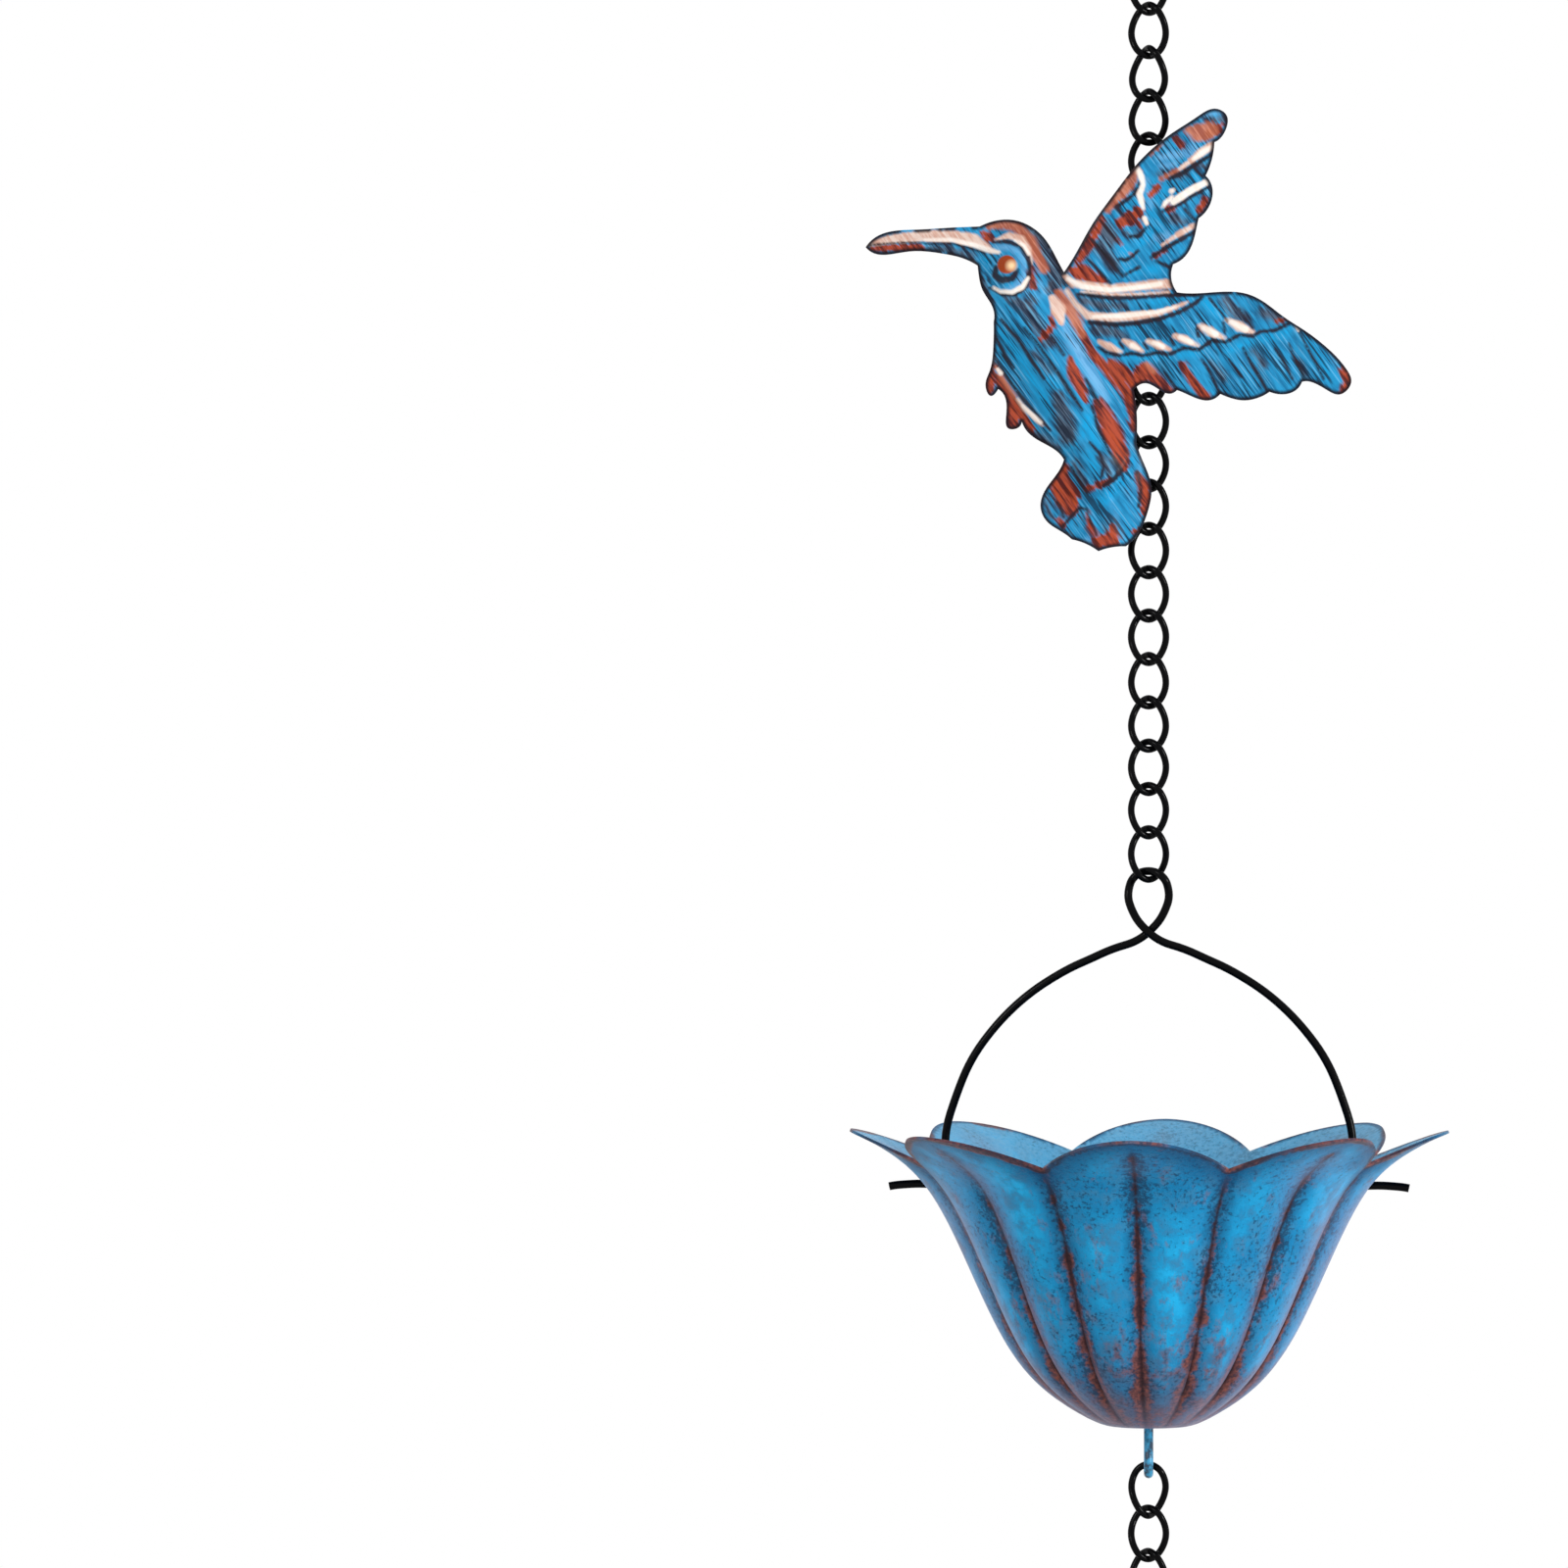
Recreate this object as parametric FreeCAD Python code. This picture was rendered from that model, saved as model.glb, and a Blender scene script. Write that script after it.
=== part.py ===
"""Rain chain: curb chain, hummingbirds and flower cups, three repeats long.

Millimetres, +Z up, +X to the viewer's right and -Y towards the viewer.
The origin is where the hanger bears inside the top link.
"""

import FreeCAD, Part
import os
from math import ceil, cos, hypot, pi, radians, sin, sqrt

V = FreeCAD.Vector
Z_AXIS = V(0, 0, 1)

# The whole chain
repeats = 3
count_above = 5  # free links from a hook down to a bird
count_behind = 10  # links that a bird is soldered to or hides
count_below = 7  # free links from a bird down to a bail
count_tail = 5  # free links under the last cup

# Curb link: an oval of wire, twisted so that its two bends stand square to each other
link_wire = 1.75
link_width = 10.6
link_pitch = 11.05
link_twist = 90.0
play = 0.25  # air between two wires that hang in each other

# How far each link has turned about the chain's line, as it happens to hang; a longer run repeats
turns_above = (15.0, 0.0, -12.0, -25.0, -18.0)
turns_behind = (-5.0, 3.0, -4.0, 4.0, -2.0, 3.0, -4.0, 0.0, 3.0, 0.0)
turns_below = (0.0, 2.0, -8.0, -8.0, 0.0, 3.0, 0.0)
turns_tail = (15.0, 0.0, -6.0, 4.0, 0.0)

# Hummingbird: stamped sheet
bird_width = 123.5
bird_height = 112.5
bird_sheet = 0.9
bird_air = 0.55  # between the foremost link and the flat back of the sheet
relief_step = 1.5  # spacing of the relief's control points
solder_diameter = 3.0
solder_film = 0.12  # left between a bead and the sheet
# The links that carry a bead: how far down behind the bird, and their right or left strand
SOLDERED = ((12.0, 1), (88.0, -1))

# Bail: one wire with a loop at the top and its ends through the cup
bail_wire = 2.1
bail_rise = 80.0  # from the holes up to the loop's top wire
bail_loop_width = 12.4
bail_loop_height = 15.5
bail_stub = 11.0  # how far an end stands out of the cup
bail_sag = 0.6  # how far the tip of an end hangs
bail_bend = 2.4  # radius where the leg turns out through the wall
bail_inset = 0.8  # from the inside of the wall to where that bend starts
hole_clearance = 0.3
# The leg from its bend to the crossing: share of its reach, share of its rise
BAIL_LEG = (
    (1.008, 0.2),
    (0.952, 0.36),
    (0.88, 0.492),
    (0.758, 0.628),
    (0.608, 0.744),
    (0.425, 0.841),
    (0.24, 0.911),
)
# The loop above the crossing: share of half its width, of its height, and millimetres back
BAIL_LOOP = ((0.68, 0.27, 0.6), (1.0, 0.66, -0.4), (0.7, 0.91, -1.7))

# Flower cup: eight stamped petals, each with a groove down its middle
petals = 8
cup_turn = -3.3
cup_sheet = 0.7
cup_height = 75.0
cup_radius = 76.5
cup_floor_radius = 9.0
notch_drop = 7.5  # from a petal's tip down to the notch between two petals
groove_depth = 1.9
groove_growth = 16.0  # height over which the grooves reach their depth
rib_end = 3.0  # the middle groove is gone this far below the rim
rib_fade = 9.0
hole_height = 61.5
drain_diameter = 8.0

# Hook: wire with a foot inside the cup and an eye below it
hook_wire = 2.4
hook_drop = 10.75  # from under the cup's floor to where the next link bears
hook_eye_radius = 3.2
hook_neck = 0.5  # straight below the floor
hook_swing = 0.55  # how far forward the stem has swung halfway down, as a share of the eye's radius
foot_length = 15.0

# Control points of the wall on the crest of a flute: height above the cup's floor, and radius
CUP_PROFILE = (
    (0.0, 9.0),
    (0.0, 10.6),
    (0.9, 13.4),
    (3.1, 17.6),
    (6.8, 23.8),
    (12.4, 30.6),
    (20.0, 36.2),
    (29.0, 40.9),
    (39.5, 45.6),
    (49.8, 50.2),
    (58.5, 54.8),
    (65.0, 59.8),
    (70.0, 66.0),
    (73.2, 71.6),
    (75.0, 76.5),
)

# The bird is drawn on a square grid, with its beak at the left
DRAWN_WIDTH, DRAWN_HEIGHT = 494.0, 450.0
DRAWN_ORIGIN = (1175.0, 142.0)  # where the first link behind the bird bears

OUTLINE = (
    # beak and head
    ((887, 253), (900, 241), (940, 235), (975, 233), (1003, 232)),
    ((1003, 232), (1020, 226), (1037, 225.5), (1053, 231), (1068, 243), (1081, 264), (1089, 279)),
    # upper wing
    ((1089, 279), (1100, 262), (1118, 230), (1138, 202), (1168, 164), (1200, 137), (1224, 121.6),
     (1244, 113), (1254, 119), (1254, 133), (1242, 147)),
    ((1242, 147), (1240, 162), (1233, 181)),
    ((1233, 181), (1240, 194), (1238, 209), (1226, 224)),
    ((1226, 224), (1223, 238), (1217, 256), (1200, 271)),
    ((1200, 271), (1198, 284), (1204, 299.6)),
    # lower wing
    ((1204, 299.6), (1240, 299.6), (1276, 301.5), (1290, 308), (1310, 323), (1334, 339), (1358, 358),
     (1376, 378), (1381, 391), (1370, 403.6), (1354, 398), (1331, 391)),
    ((1331, 391), (1320, 402), (1308, 403.5), (1298, 401)),
    ((1298, 401), (1285, 407.5), (1272, 409.6), (1258, 407), (1248, 403)),
    ((1248, 403), (1234, 409.6), (1218, 405), (1204, 399)),
    ((1204, 399), (1195, 402.6), (1182, 396), (1160, 398.4)),
    # body and tail
    ((1160, 398.4), (1163, 423), (1162.5, 453)),
    ((1162.5, 453), (1170, 473), (1178, 498), (1175, 520), (1163, 547), (1152, 558)),
    ((1152, 558), (1138, 559), (1124, 563)),
    ((1124, 563), (1110, 555), (1097, 551)),
    ((1097, 551), (1083, 541), (1071, 532), (1065, 517), (1069, 502), (1079, 488), (1089, 470)),
    # belly, claws and throat
    ((1089, 470), (1080, 460), (1063, 450), (1046, 431)),
    ((1046, 431), (1040, 438), (1032, 437.5), (1030, 425), (1030, 410), (1022, 397.5)),
    ((1022, 397.5), (1013, 404), (1009, 393), (1013, 380), (1017, 355), (1017.5, 330)),
    ((1017.5, 330), (1015, 312), (1006, 297), (1002, 280), (1001, 272)),
    ((1001, 272), (985, 264), (965, 259.5), (930, 257.5), (892, 257.5), (887, 253)),
)

# Raised work: a line of points, half its width and its height in millimetres
DOMES = (
    (((1030, 300), (1052, 335), (1078, 385), (1108, 432), (1126, 462)), 13.0, 5.4),
    (((1040, 262), (1044, 280)), 10.5, 3.4),
    (((1108, 480), (1128, 500), (1120, 540)), 13.0, 2.6),
    (((1108, 268), (1150, 220), (1226, 136)), 13.0, 1.8),
    (((1200, 215), (1196, 262)), 9.0, 1.0),
    (((1110, 322), (1200, 345), (1345, 378)), 14.0, 2.2),
    (((1150, 375), (1290, 385)), 8.0, 0.8),
)
RIDGES = (
    (((1008, 251), (950, 249), (893, 252)), 2.6, 1.9),
    (((1018, 246), (1036, 240), (1053, 250), (1063, 268), (1069, 291)), 2.0, 0.7),
    (((1018, 373), (1035, 395), (1045, 412), (1058, 427), (1070, 438)), 2.2, 1.2),
    (((1158, 453), (1151, 477), (1138, 492), (1123, 502), (1107, 510)), 2.0, 0.9),
    (((1099, 270), (1128, 223), (1170, 171), (1240, 121)), 2.2, 0.9),
    (((1241, 151), (1176, 189)), 2.0, 0.8),
    (((1235, 186), (1188, 212)), 2.0, 0.8),
    (((1222, 231), (1165, 262)), 2.0, 0.8),
    (((1162, 170), (1168, 190), (1163, 205), (1167, 222), (1173, 233)), 2.0, 0.9),
    (((1093, 286), (1112, 293), (1136, 296), (1170, 292), (1198, 288)), 2.1, 1.2),
    (((1106, 301), (1143, 304), (1190, 302)), 1.3, 0.5),
    (((1240, 306), (1272, 308), (1300, 320), (1330, 343), (1358, 370)), 2.2, 0.7),
    (((1102, 308), (1114, 323), (1136, 326), (1160, 325), (1184, 321), (1200, 316), (1214, 310)),
     2.3, 1.2),
)
GROOVES = (
    (((1138, 500), (1152, 548)), 1.8, 0.7),
    (((1123, 506), (1122, 556)), 1.8, 0.7),
    (((1108, 512), (1093, 544)), 1.8, 0.7),
    (((1130, 364), (1170, 364), (1210, 359), (1245, 352), (1290, 340), (1320, 330)), 1.8, 0.6),
    (((1319, 336), (1323, 358), (1333, 389)), 1.9, 0.8),
    (((1271, 356), (1281, 376), (1296, 400)), 1.9, 0.8),
    (((1227, 366), (1237, 382), (1247, 403)), 1.9, 0.8),
    (((1183, 370), (1193, 384), (1205, 398)), 1.9, 0.8),
    (((1240, 164), (1180, 199)), 1.8, 0.5),
    (((1226, 222), (1172, 246)), 1.8, 0.5),
)
DROPS = ((1136, 355), (1160, 355), (1185, 354), (1213, 350), (1239, 340), (1267, 334))
drop_length = 6.4
drop_half_width = 1.7
drop_height = 1.2
drop_slope = 27.0
EYE = (1031, 272)
eye_radius = 2.5
eye_height = 1.3
eye_ring_radius = 5.1
eye_ring_height = 0.7
eye_ring_half_width = 1.8
eye_ring_reach = 140  # degrees to either side of the beak's far side


def placed(shape, turn, height):
    """A copy turned about the chain's line and set at a height."""
    moved = shape.copy()
    moved.rotate(V(0, 0, 0), Z_AXIS, turn)
    moved.translate(V(0, 0, height))
    return moved


# Wire work: every rod is a run of tangent arcs


def polar(angle):
    """A level unit vector at an angle in degrees from +X."""
    return V(cos(radians(angle)), sin(radians(angle)), 0)


def arc_from(start, corner, end):
    """The arc that leaves start towards corner and reaches end, or a line if all three are in line."""
    middle = (start + end) * 0.5
    reach, half = (corner - middle).Length, (end - start).Length / 2
    if reach < 1e-4 * half:
        return Part.makeLine(start, end)
    rise = half * (sqrt(half**2 + reach**2) - half) / reach
    crown = middle + (corner - middle).normalize() * rise
    return Part.Arc(start, crown, end).toShape()


def bend_between(start, leaving, end, arriving):
    """Two arcs that join start to end with the given unit directions at the ends."""
    span, total = end - start, leaving + arriving
    square = 2 * (1 - leaving.dot(arriving))
    along = span.dot(total)
    if square < 1e-9:
        reach = span.dot(span) / (2 * along)
    else:
        reach = (sqrt(along**2 + square * span.dot(span)) - along) / square
    first, second = start + leaving * reach, end - arriving * reach
    meeting = (first + second) * 0.5
    return [arc_from(start, first, meeting), arc_from(meeting, second, end)]


def bent_rod(points, directions, diameter):
    """A round rod through points, with a unit direction at each of them."""
    edges = []
    for here, there in zip(range(len(points) - 1), range(1, len(points))):
        edges += bend_between(points[here], directions[here], points[there], directions[there])
    section = Part.Wire(Part.makeCircle(diameter / 2, points[0], directions[0]))
    return Part.Wire(edges).makePipeShell([section], True, False)


def smooth_directions(points, first, last):
    """A direction at each point, from the circle through it and its two neighbours."""
    directions = [first.normalize()]
    for before, here, after in zip(points, points[1:], points[2:]):
        back, on = here - before, after - here
        blend = back * (1 / back.Length**2) + on * (1 / on.Length**2)
        directions.append(blend.normalize())
    return directions + [last.normalize()]


# Curb chain


def make_link():
    """One twisted link about the origin, joined from its right and left halves."""
    half_height = (link_pitch + play + link_wire) / 2
    half_width = (link_width - link_wire) / 2
    lean = half_width * radians(link_twist) / (2 * half_height)
    up = V(0, -lean, 1).normalize()
    foot, head, side = V(0, 0, -half_height), V(0, 0, half_height), V(half_width, 0, 0)
    leaving, arriving = polar(link_twist / 2), polar(180 - link_twist / 2)
    right = bent_rod([foot, side, head], [leaving, up, arriving], link_wire)
    left = right.copy()
    left.rotate(V(0, 0, 0), Z_AXIS, 180)
    return right.fuse(left)


def hang_links(link, count, turns, top):
    """Links one below the other, the first bearing at the height top."""
    return [
        placed(link, turns[place % len(turns)], top - (place + 0.5) * link_pitch)
        for place in range(count)
    ]


def nearest_to_viewer(link, strand):
    """The middle of the wire where a link's right (1) or left (-1) strand comes nearest."""
    low = (strand - 1) / 2
    corner = link.BoundBox.Center + V(low * link_width, -2 * link_width, low * link_pitch)
    wall = Part.makeBox(link_width, link_wire, link_pitch, corner)
    return link.distToShape(wall)[1][0][0] + V(0, link_wire / 2, 0)


# Hummingbird


def bird_point(drawn):
    """Where a point of the drawing lies: across from the chain, and up from the bird's top link."""
    across = (drawn[0] - DRAWN_ORIGIN[0]) * bird_width / DRAWN_WIDTH
    return across, (DRAWN_ORIGIN[1] - drawn[1]) * bird_height / DRAWN_HEIGHT


def distance_to(line, x, z):
    """How far (x, z) is from a line of points."""
    nearest = 1e9
    for (ax, az), (bx, bz) in zip(line, line[1:]):
        length = (bx - ax) ** 2 + (bz - az) ** 2
        along = max(0.0, min(1.0, ((x - ax) * (bx - ax) + (z - az) * (bz - az)) / length))
        nearest = min(nearest, hypot(x - ax - along * (bx - ax), z - az - along * (bz - az)))
    return nearest


def relief_work():
    """Every raised or sunk line of the bird as points, half width and height."""
    work = [([bird_point(p) for p in line], half, rise) for line, half, rise in DOMES + RIDGES]
    work += [([bird_point(p) for p in line], half, -fall) for line, half, fall in GROOVES]
    dx, dz = cos(radians(drop_slope)), -sin(radians(drop_slope))
    for drop in DROPS:
        x, z = bird_point(drop)
        half = drop_length / 2 - drop_half_width
        ends = [(x - dx * half, z - dz * half), (x + dx * half, z + dz * half)]
        work.append((ends, drop_half_width, drop_height))
    ex, ez = bird_point(EYE)
    pupil = [(ex, ez), (ex + eye_radius / 100, ez)]
    work.append((pupil, eye_radius, eye_height))
    turns = [radians(turn) for turn in range(-eye_ring_reach, eye_ring_reach + 1, 20)]
    ring = [(ex + eye_ring_radius * cos(a), ez + eye_ring_radius * sin(a)) for a in turns]
    work.append((ring, eye_ring_half_width, eye_ring_height))
    return work


def relief_height(work, x, z):
    """How far the sheet stands out of its flat at (x, z)."""
    height = 0.0
    for line, half, rise in work:
        near = distance_to(line, x, z) / half
        if near < 1:
            height += rise * (1 - near**2) ** 2
    return max(0.0, height)


def even_knots(low, high, count):
    """Knots, repeats and control abscissae that keep a cubic surface's parameter true to size."""
    knots = [low + (high - low) * i / (count - 3) for i in range(count - 2)]
    times = [4] + [1] * (count - 4) + [4]
    full = [low] * 3 + knots + [high] * 3
    return knots, times, [sum(full[i + 1 : i + 4]) / 3 for i in range(count)]


def bird_surface(back_plane):
    """The bird's front as one surface whose parameters are its x and z."""
    xs, zs = zip(*[bird_point(p) for stroke in OUTLINE for p in stroke])
    margin = 4.0  # flat sheet all round, past the outline
    low_x, high_x = min(xs) - margin, max(xs) + margin
    low_z, high_z = min(zs) - margin, max(zs) + margin
    x_count = ceil((high_x - low_x) / relief_step) + 3
    z_count = ceil((high_z - low_z) / relief_step) + 3
    x_knots, x_times, x_poles = even_knots(low_x, high_x, x_count)
    z_knots, z_times, z_poles = even_knots(low_z, high_z, z_count)
    work = relief_work()
    front = back_plane - bird_sheet
    poles = [[V(x, front - relief_height(work, x, z), z) for z in z_poles] for x in x_poles]
    surface = Part.BSplineSurface()
    surface.buildFromPolesMultsKnots(poles, x_times, z_times, x_knots, z_knots, False, False, 3, 3)
    return surface


def make_bird(surface):
    """The stamped sheet, cut to its outline, with its place set by the first link behind it."""
    edges = []
    for stroke in OUTLINE:
        flat = [FreeCAD.Base.Vector2d(*bird_point(p)) for p in stroke]
        curve = Part.Geom2d.BSplineCurve2d()
        curve.interpolate(flat)
        edges.append(curve.toShape(surface))
    outline = Part.Wire(edges)
    face = Part.Face(surface, outline)
    face.validate()
    return face.extrude(V(0, bird_sheet, 0))


def solder(surface, strand):
    """A bead from the middle of a link's wire to just short of the sheet's back."""
    radius = solder_diameter / 2
    around = [V(strand.x, 0, strand.z)] + [
        V(strand.x, 0, strand.z) + V(radius * cos(a * pi / 4), 0, radius * sin(a * pi / 4))
        for a in range(8)
    ]
    back = max(surface.value(p.x, p.z).y for p in around) + bird_sheet
    return Part.makeCylinder(radius, strand.y - back - solder_film, strand, V(0, -1, 0))


def make_bird_and_links(link):
    """The bird, and the links behind it with their beads, about the first link's bearing."""
    behind = hang_links(link, count_behind, turns_behind, 0.0)
    foremost = min(nearest_to_viewer(hung, strand).y for hung in behind for strand in (1, -1))
    surface = bird_surface(foremost - link_wire / 2 - bird_air)
    for depth, strand in SOLDERED:
        place = min(int(depth / link_pitch), count_behind - 1)
        bead = solder(surface, nearest_to_viewer(behind[place], strand))
        behind[place] = behind[place].fuse(bead)
    return make_bird(surface), behind


# Flower cup


def cup_sizes():
    """The profile's points, moved to the cup's height, rim radius and floor radius."""
    drawn_height, drawn_radius = CUP_PROFILE[-1]
    drawn_floor = CUP_PROFILE[0][1]
    stretch = (cup_radius - cup_floor_radius) / (drawn_radius - drawn_floor)
    return [
        V(cup_floor_radius + (radius - drawn_floor) * stretch, 0, height * cup_height / drawn_height)
        for height, radius in CUP_PROFILE
    ]


def cup_meridian():
    """The crest of a flute, from the floor's edge to a petal's tip, level where it starts."""
    poles = cup_sizes()
    knots, times, _ = even_knots(0.0, 1.0, len(poles))
    curve = Part.BSplineCurve()
    curve.buildFromPolesMultsKnots(poles, times, knots, False, 3)
    return curve


def parameter_at_height(curve, height):
    """Where the meridian reaches a height above the floor."""
    low, high = curve.FirstParameter, curve.LastParameter
    for _ in range(50):
        middle = (low + high) / 2
        if curve.value(middle).z < height:
            low = middle
        else:
            high = middle
    return low


def groove_at(height, from_seam):
    """How deep the groove is at a height; the one down a petal's middle fades below the rim."""
    depth = groove_depth * sin(pi / 2 * min(1.0, height / groove_growth))
    if from_seam:
        return depth
    left = max(0.0, min(1.0, (cup_height - rib_end - height) / rib_fade))
    return depth * left * left * (3 - 2 * left)


def wall_point(curve, turn, share):
    """A point of the outer wall: turn is 0 at the seam and 1 at the petal's middle, share 0 to 1 up."""
    sector = pi / petals
    notch = parameter_at_height(curve, cup_height - notch_drop)
    top = notch + (curve.LastParameter - notch) * sin(turn * pi / 2)
    crest = curve.value(curve.FirstParameter + (top - curve.FirstParameter) * share)
    across = 2 * turn - 1
    depth = groove_at(crest.z, turn < 0.5) * across**2
    angle = sector * (turn - 1)
    radius = crest.x - depth
    return V(radius * cos(angle), radius * sin(angle), crest.z)


def inner_point(curve, turn, share):
    """The point of the inner wall that faces an outer one, across the sheet."""
    tiny = 1e-4
    here = wall_point(curve, turn, share)
    above = wall_point(curve, turn, min(1, share + tiny))
    below = wall_point(curve, turn, max(0, share - tiny))
    right = wall_point(curve, min(1, turn + tiny), share)
    left = wall_point(curve, max(0, turn - tiny), share)
    up = above - below
    normal = up.cross(right - left).normalize()
    angle = pi / petals * (turn - 1)
    flat = V(cos(angle), sin(angle), 0)
    upward = V(up.dot(flat), 0, up.z).normalize()
    inward = V(-upward.z * cos(angle), -upward.z * sin(angle), upward.x)
    return here + inward * (cup_sheet / abs(normal.dot(inward)))


def half_petal_faces(curve):
    """Outer wall, inner wall and rim of half a petal, seam to middle, and its two floor edges."""
    across_knots, across_times, turns = even_knots(0.0, 1.0, 11)
    up_knots, up_times, shares = even_knots(0.0, 1.0, 26)
    walls = []
    for point in (wall_point, inner_point):
        poles = [[point(curve, turn, share) for share in shares] for turn in turns]
        surface = Part.BSplineSurface()
        surface.buildFromPolesMultsKnots(
            poles, across_times, up_times, across_knots, up_knots, False, False, 3, 3
        )
        walls.append(surface)
    rims = [wall.vIso(1.0).toShape() for wall in walls]
    floors = [wall.vIso(0.0).toShape() for wall in walls]
    return [wall.toShape() for wall in walls] + [Part.makeRuledSurface(*rims)], floors


def make_cup():
    """The whole cup with its floor on z=0, its drain and the two holes for the bail."""
    curve = cup_meridian()
    faces, floors = half_petal_faces(curve)
    mirrored = [face.mirror(V(0, 0, 0), V(0, 1, 0)) for face in faces]
    floors_mirrored = [edge.mirror(V(0, 0, 0), V(0, 1, 0)) for edge in floors]
    skin, rings = [], ([], [])
    for petal in range(petals):
        turn = 360 * petal / petals
        for face in faces + mirrored:
            skin.append(face.rotated(V(0, 0, 0), Z_AXIS, turn))
        for side in (0, 1):
            for edge in (floors[side], floors_mirrored[side]):
                rings[side].append(edge.rotated(V(0, 0, 0), Z_AXIS, turn))
    for ring in rings:
        skin.append(Part.Face(Part.Wire(Part.__sortEdges__(ring))))
    sewn = Part.makeCompound(skin)
    sewn.sewShape(1e-4)
    shell = sewn if sewn.ShapeType == "Shell" else sewn.Shells[0]
    cup = Part.makeSolid(shell)
    drain = Part.makeCylinder(drain_diameter / 2, 3 * cup_sheet, V(0, 0, -cup_sheet))
    hole_radius = bail_wire / 2 + hole_clearance
    across = Part.makeCylinder(
        hole_radius, 2 * cup_radius, V(-cup_radius, 0, hole_height), V(1, 0, 0)
    )
    return cup.cut([drain, across])


def wall_radius_at_hole():
    """The wall's outer radius in the middle groove, at the height of the bail's holes."""
    curve = cup_meridian()
    return curve.value(parameter_at_height(curve, hole_height)).x - groove_at(hole_height, False)


# Bail and hook


def make_bail():
    """The bail about the middle of its two holes."""
    wall = wall_radius_at_hole()
    leg = wall - cup_sheet - bail_inset - bail_bend
    crossing = bail_rise - bail_loop_height
    side = (bail_loop_width - bail_wire) / 2
    apart = (bail_wire + play) / 2
    half = [
        V(-wall - bail_stub, 0, -bail_sag),
        V(-wall - bail_stub / 2, 0, 0),
        V(-leg - bail_bend, 0, 0),
        V(-leg, 0, bail_bend),
    ]
    half += [V(-leg * out, 0, crossing * up) for out, up in BAIL_LEG]
    half.append(V(0, apart, crossing))
    half += [V(side * out, back, crossing + bail_loop_height * up) for out, up, back in BAIL_LOOP]
    points = half + [V(0, 0, bail_rise)] + [V(-p.x, -p.y, p.z) for p in reversed(half)]
    tilt = 4 * bail_sag / bail_stub
    directions = smooth_directions(points, V(1, 0, tilt), V(1, 0, -tilt))
    directions[2], directions[-3] = V(1, 0, 0), V(1, 0, 0)
    directions[3], directions[-4] = V(0, 0, 1), V(0, 0, -1)
    return bent_rod(points, directions, bail_wire)


def make_hook():
    """The hook about the middle of the cup's floor, underneath."""
    radius = hook_wire / 2
    low = -hook_drop - play / 2 - radius
    eye = low + hook_eye_radius
    top = cup_sheet + radius
    end = hook_eye_radius * sqrt(0.5)
    points = [
        V(0, 0, top),
        V(0, 0, -hook_neck),
        V(0, -hook_eye_radius * hook_swing, eye / 2),
        V(0, -hook_eye_radius, eye),
        V(0, 0, low),
        V(0, hook_eye_radius, eye),
        V(0, end, eye + end),
    ]
    directions = smooth_directions(points, V(0, 0, -1), V(0, -1, 1))
    directions[1] = V(0, 0, -1)
    directions[3], directions[4], directions[5] = V(0, 0, -1), V(0, 1, 0), V(0, 0, 1)
    stem = bent_rod(points, directions, hook_wire)
    foot = Part.makeCylinder(radius, foot_length, V(-foot_length / 2, 0, top), V(1, 0, 0))
    return stem.fuse(foot)


# Putting the chain together


def write(name, solids):
    """Write one sub-part to its own file."""
    shape = solids[0] if len(solids) == 1 else Part.makeCompound(solids)
    shape.exportStep("parts/" + name + ".step")


def main():
    os.makedirs("parts", exist_ok=True)
    link, bail, cup, hook = make_link(), make_bail(), make_cup(), make_hook()
    bird, behind = make_bird_and_links(link)

    top = 0.0
    for number in range(1, repeats + 1):
        above = hang_links(link, count_above, turns_above, top)
        if number == 1:
            write("top_link", above[:1])
            above = above[1:]
        write(f"chain_above_bird_{number}", above)

        bird_top = top - count_above * link_pitch
        write(f"chain_behind_bird_{number}", [placed(hung, 0, bird_top) for hung in behind])
        write(f"hummingbird_{number}", [placed(bird, 0, bird_top)])

        below = bird_top - count_behind * link_pitch
        write(f"chain_below_bird_{number}", hang_links(link, count_below, turns_below, below))

        bail_bears = below - count_below * link_pitch
        holes = bail_bears + play / 2 + bail_wire / 2 - bail_rise
        floor = holes - hole_height
        write(f"bail_{number}", [placed(bail, cup_turn, holes)])
        write(f"flower_cup_{number}", [placed(cup, cup_turn, floor)])
        write(f"cup_hook_{number}", [placed(hook, 0, floor)])
        top = floor - hook_drop
    write("chain_tail", hang_links(link, count_tail, turns_tail, top))


main()
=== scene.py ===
"""Rain chain with hummingbirds and flower cups: its looks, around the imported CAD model."""

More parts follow.
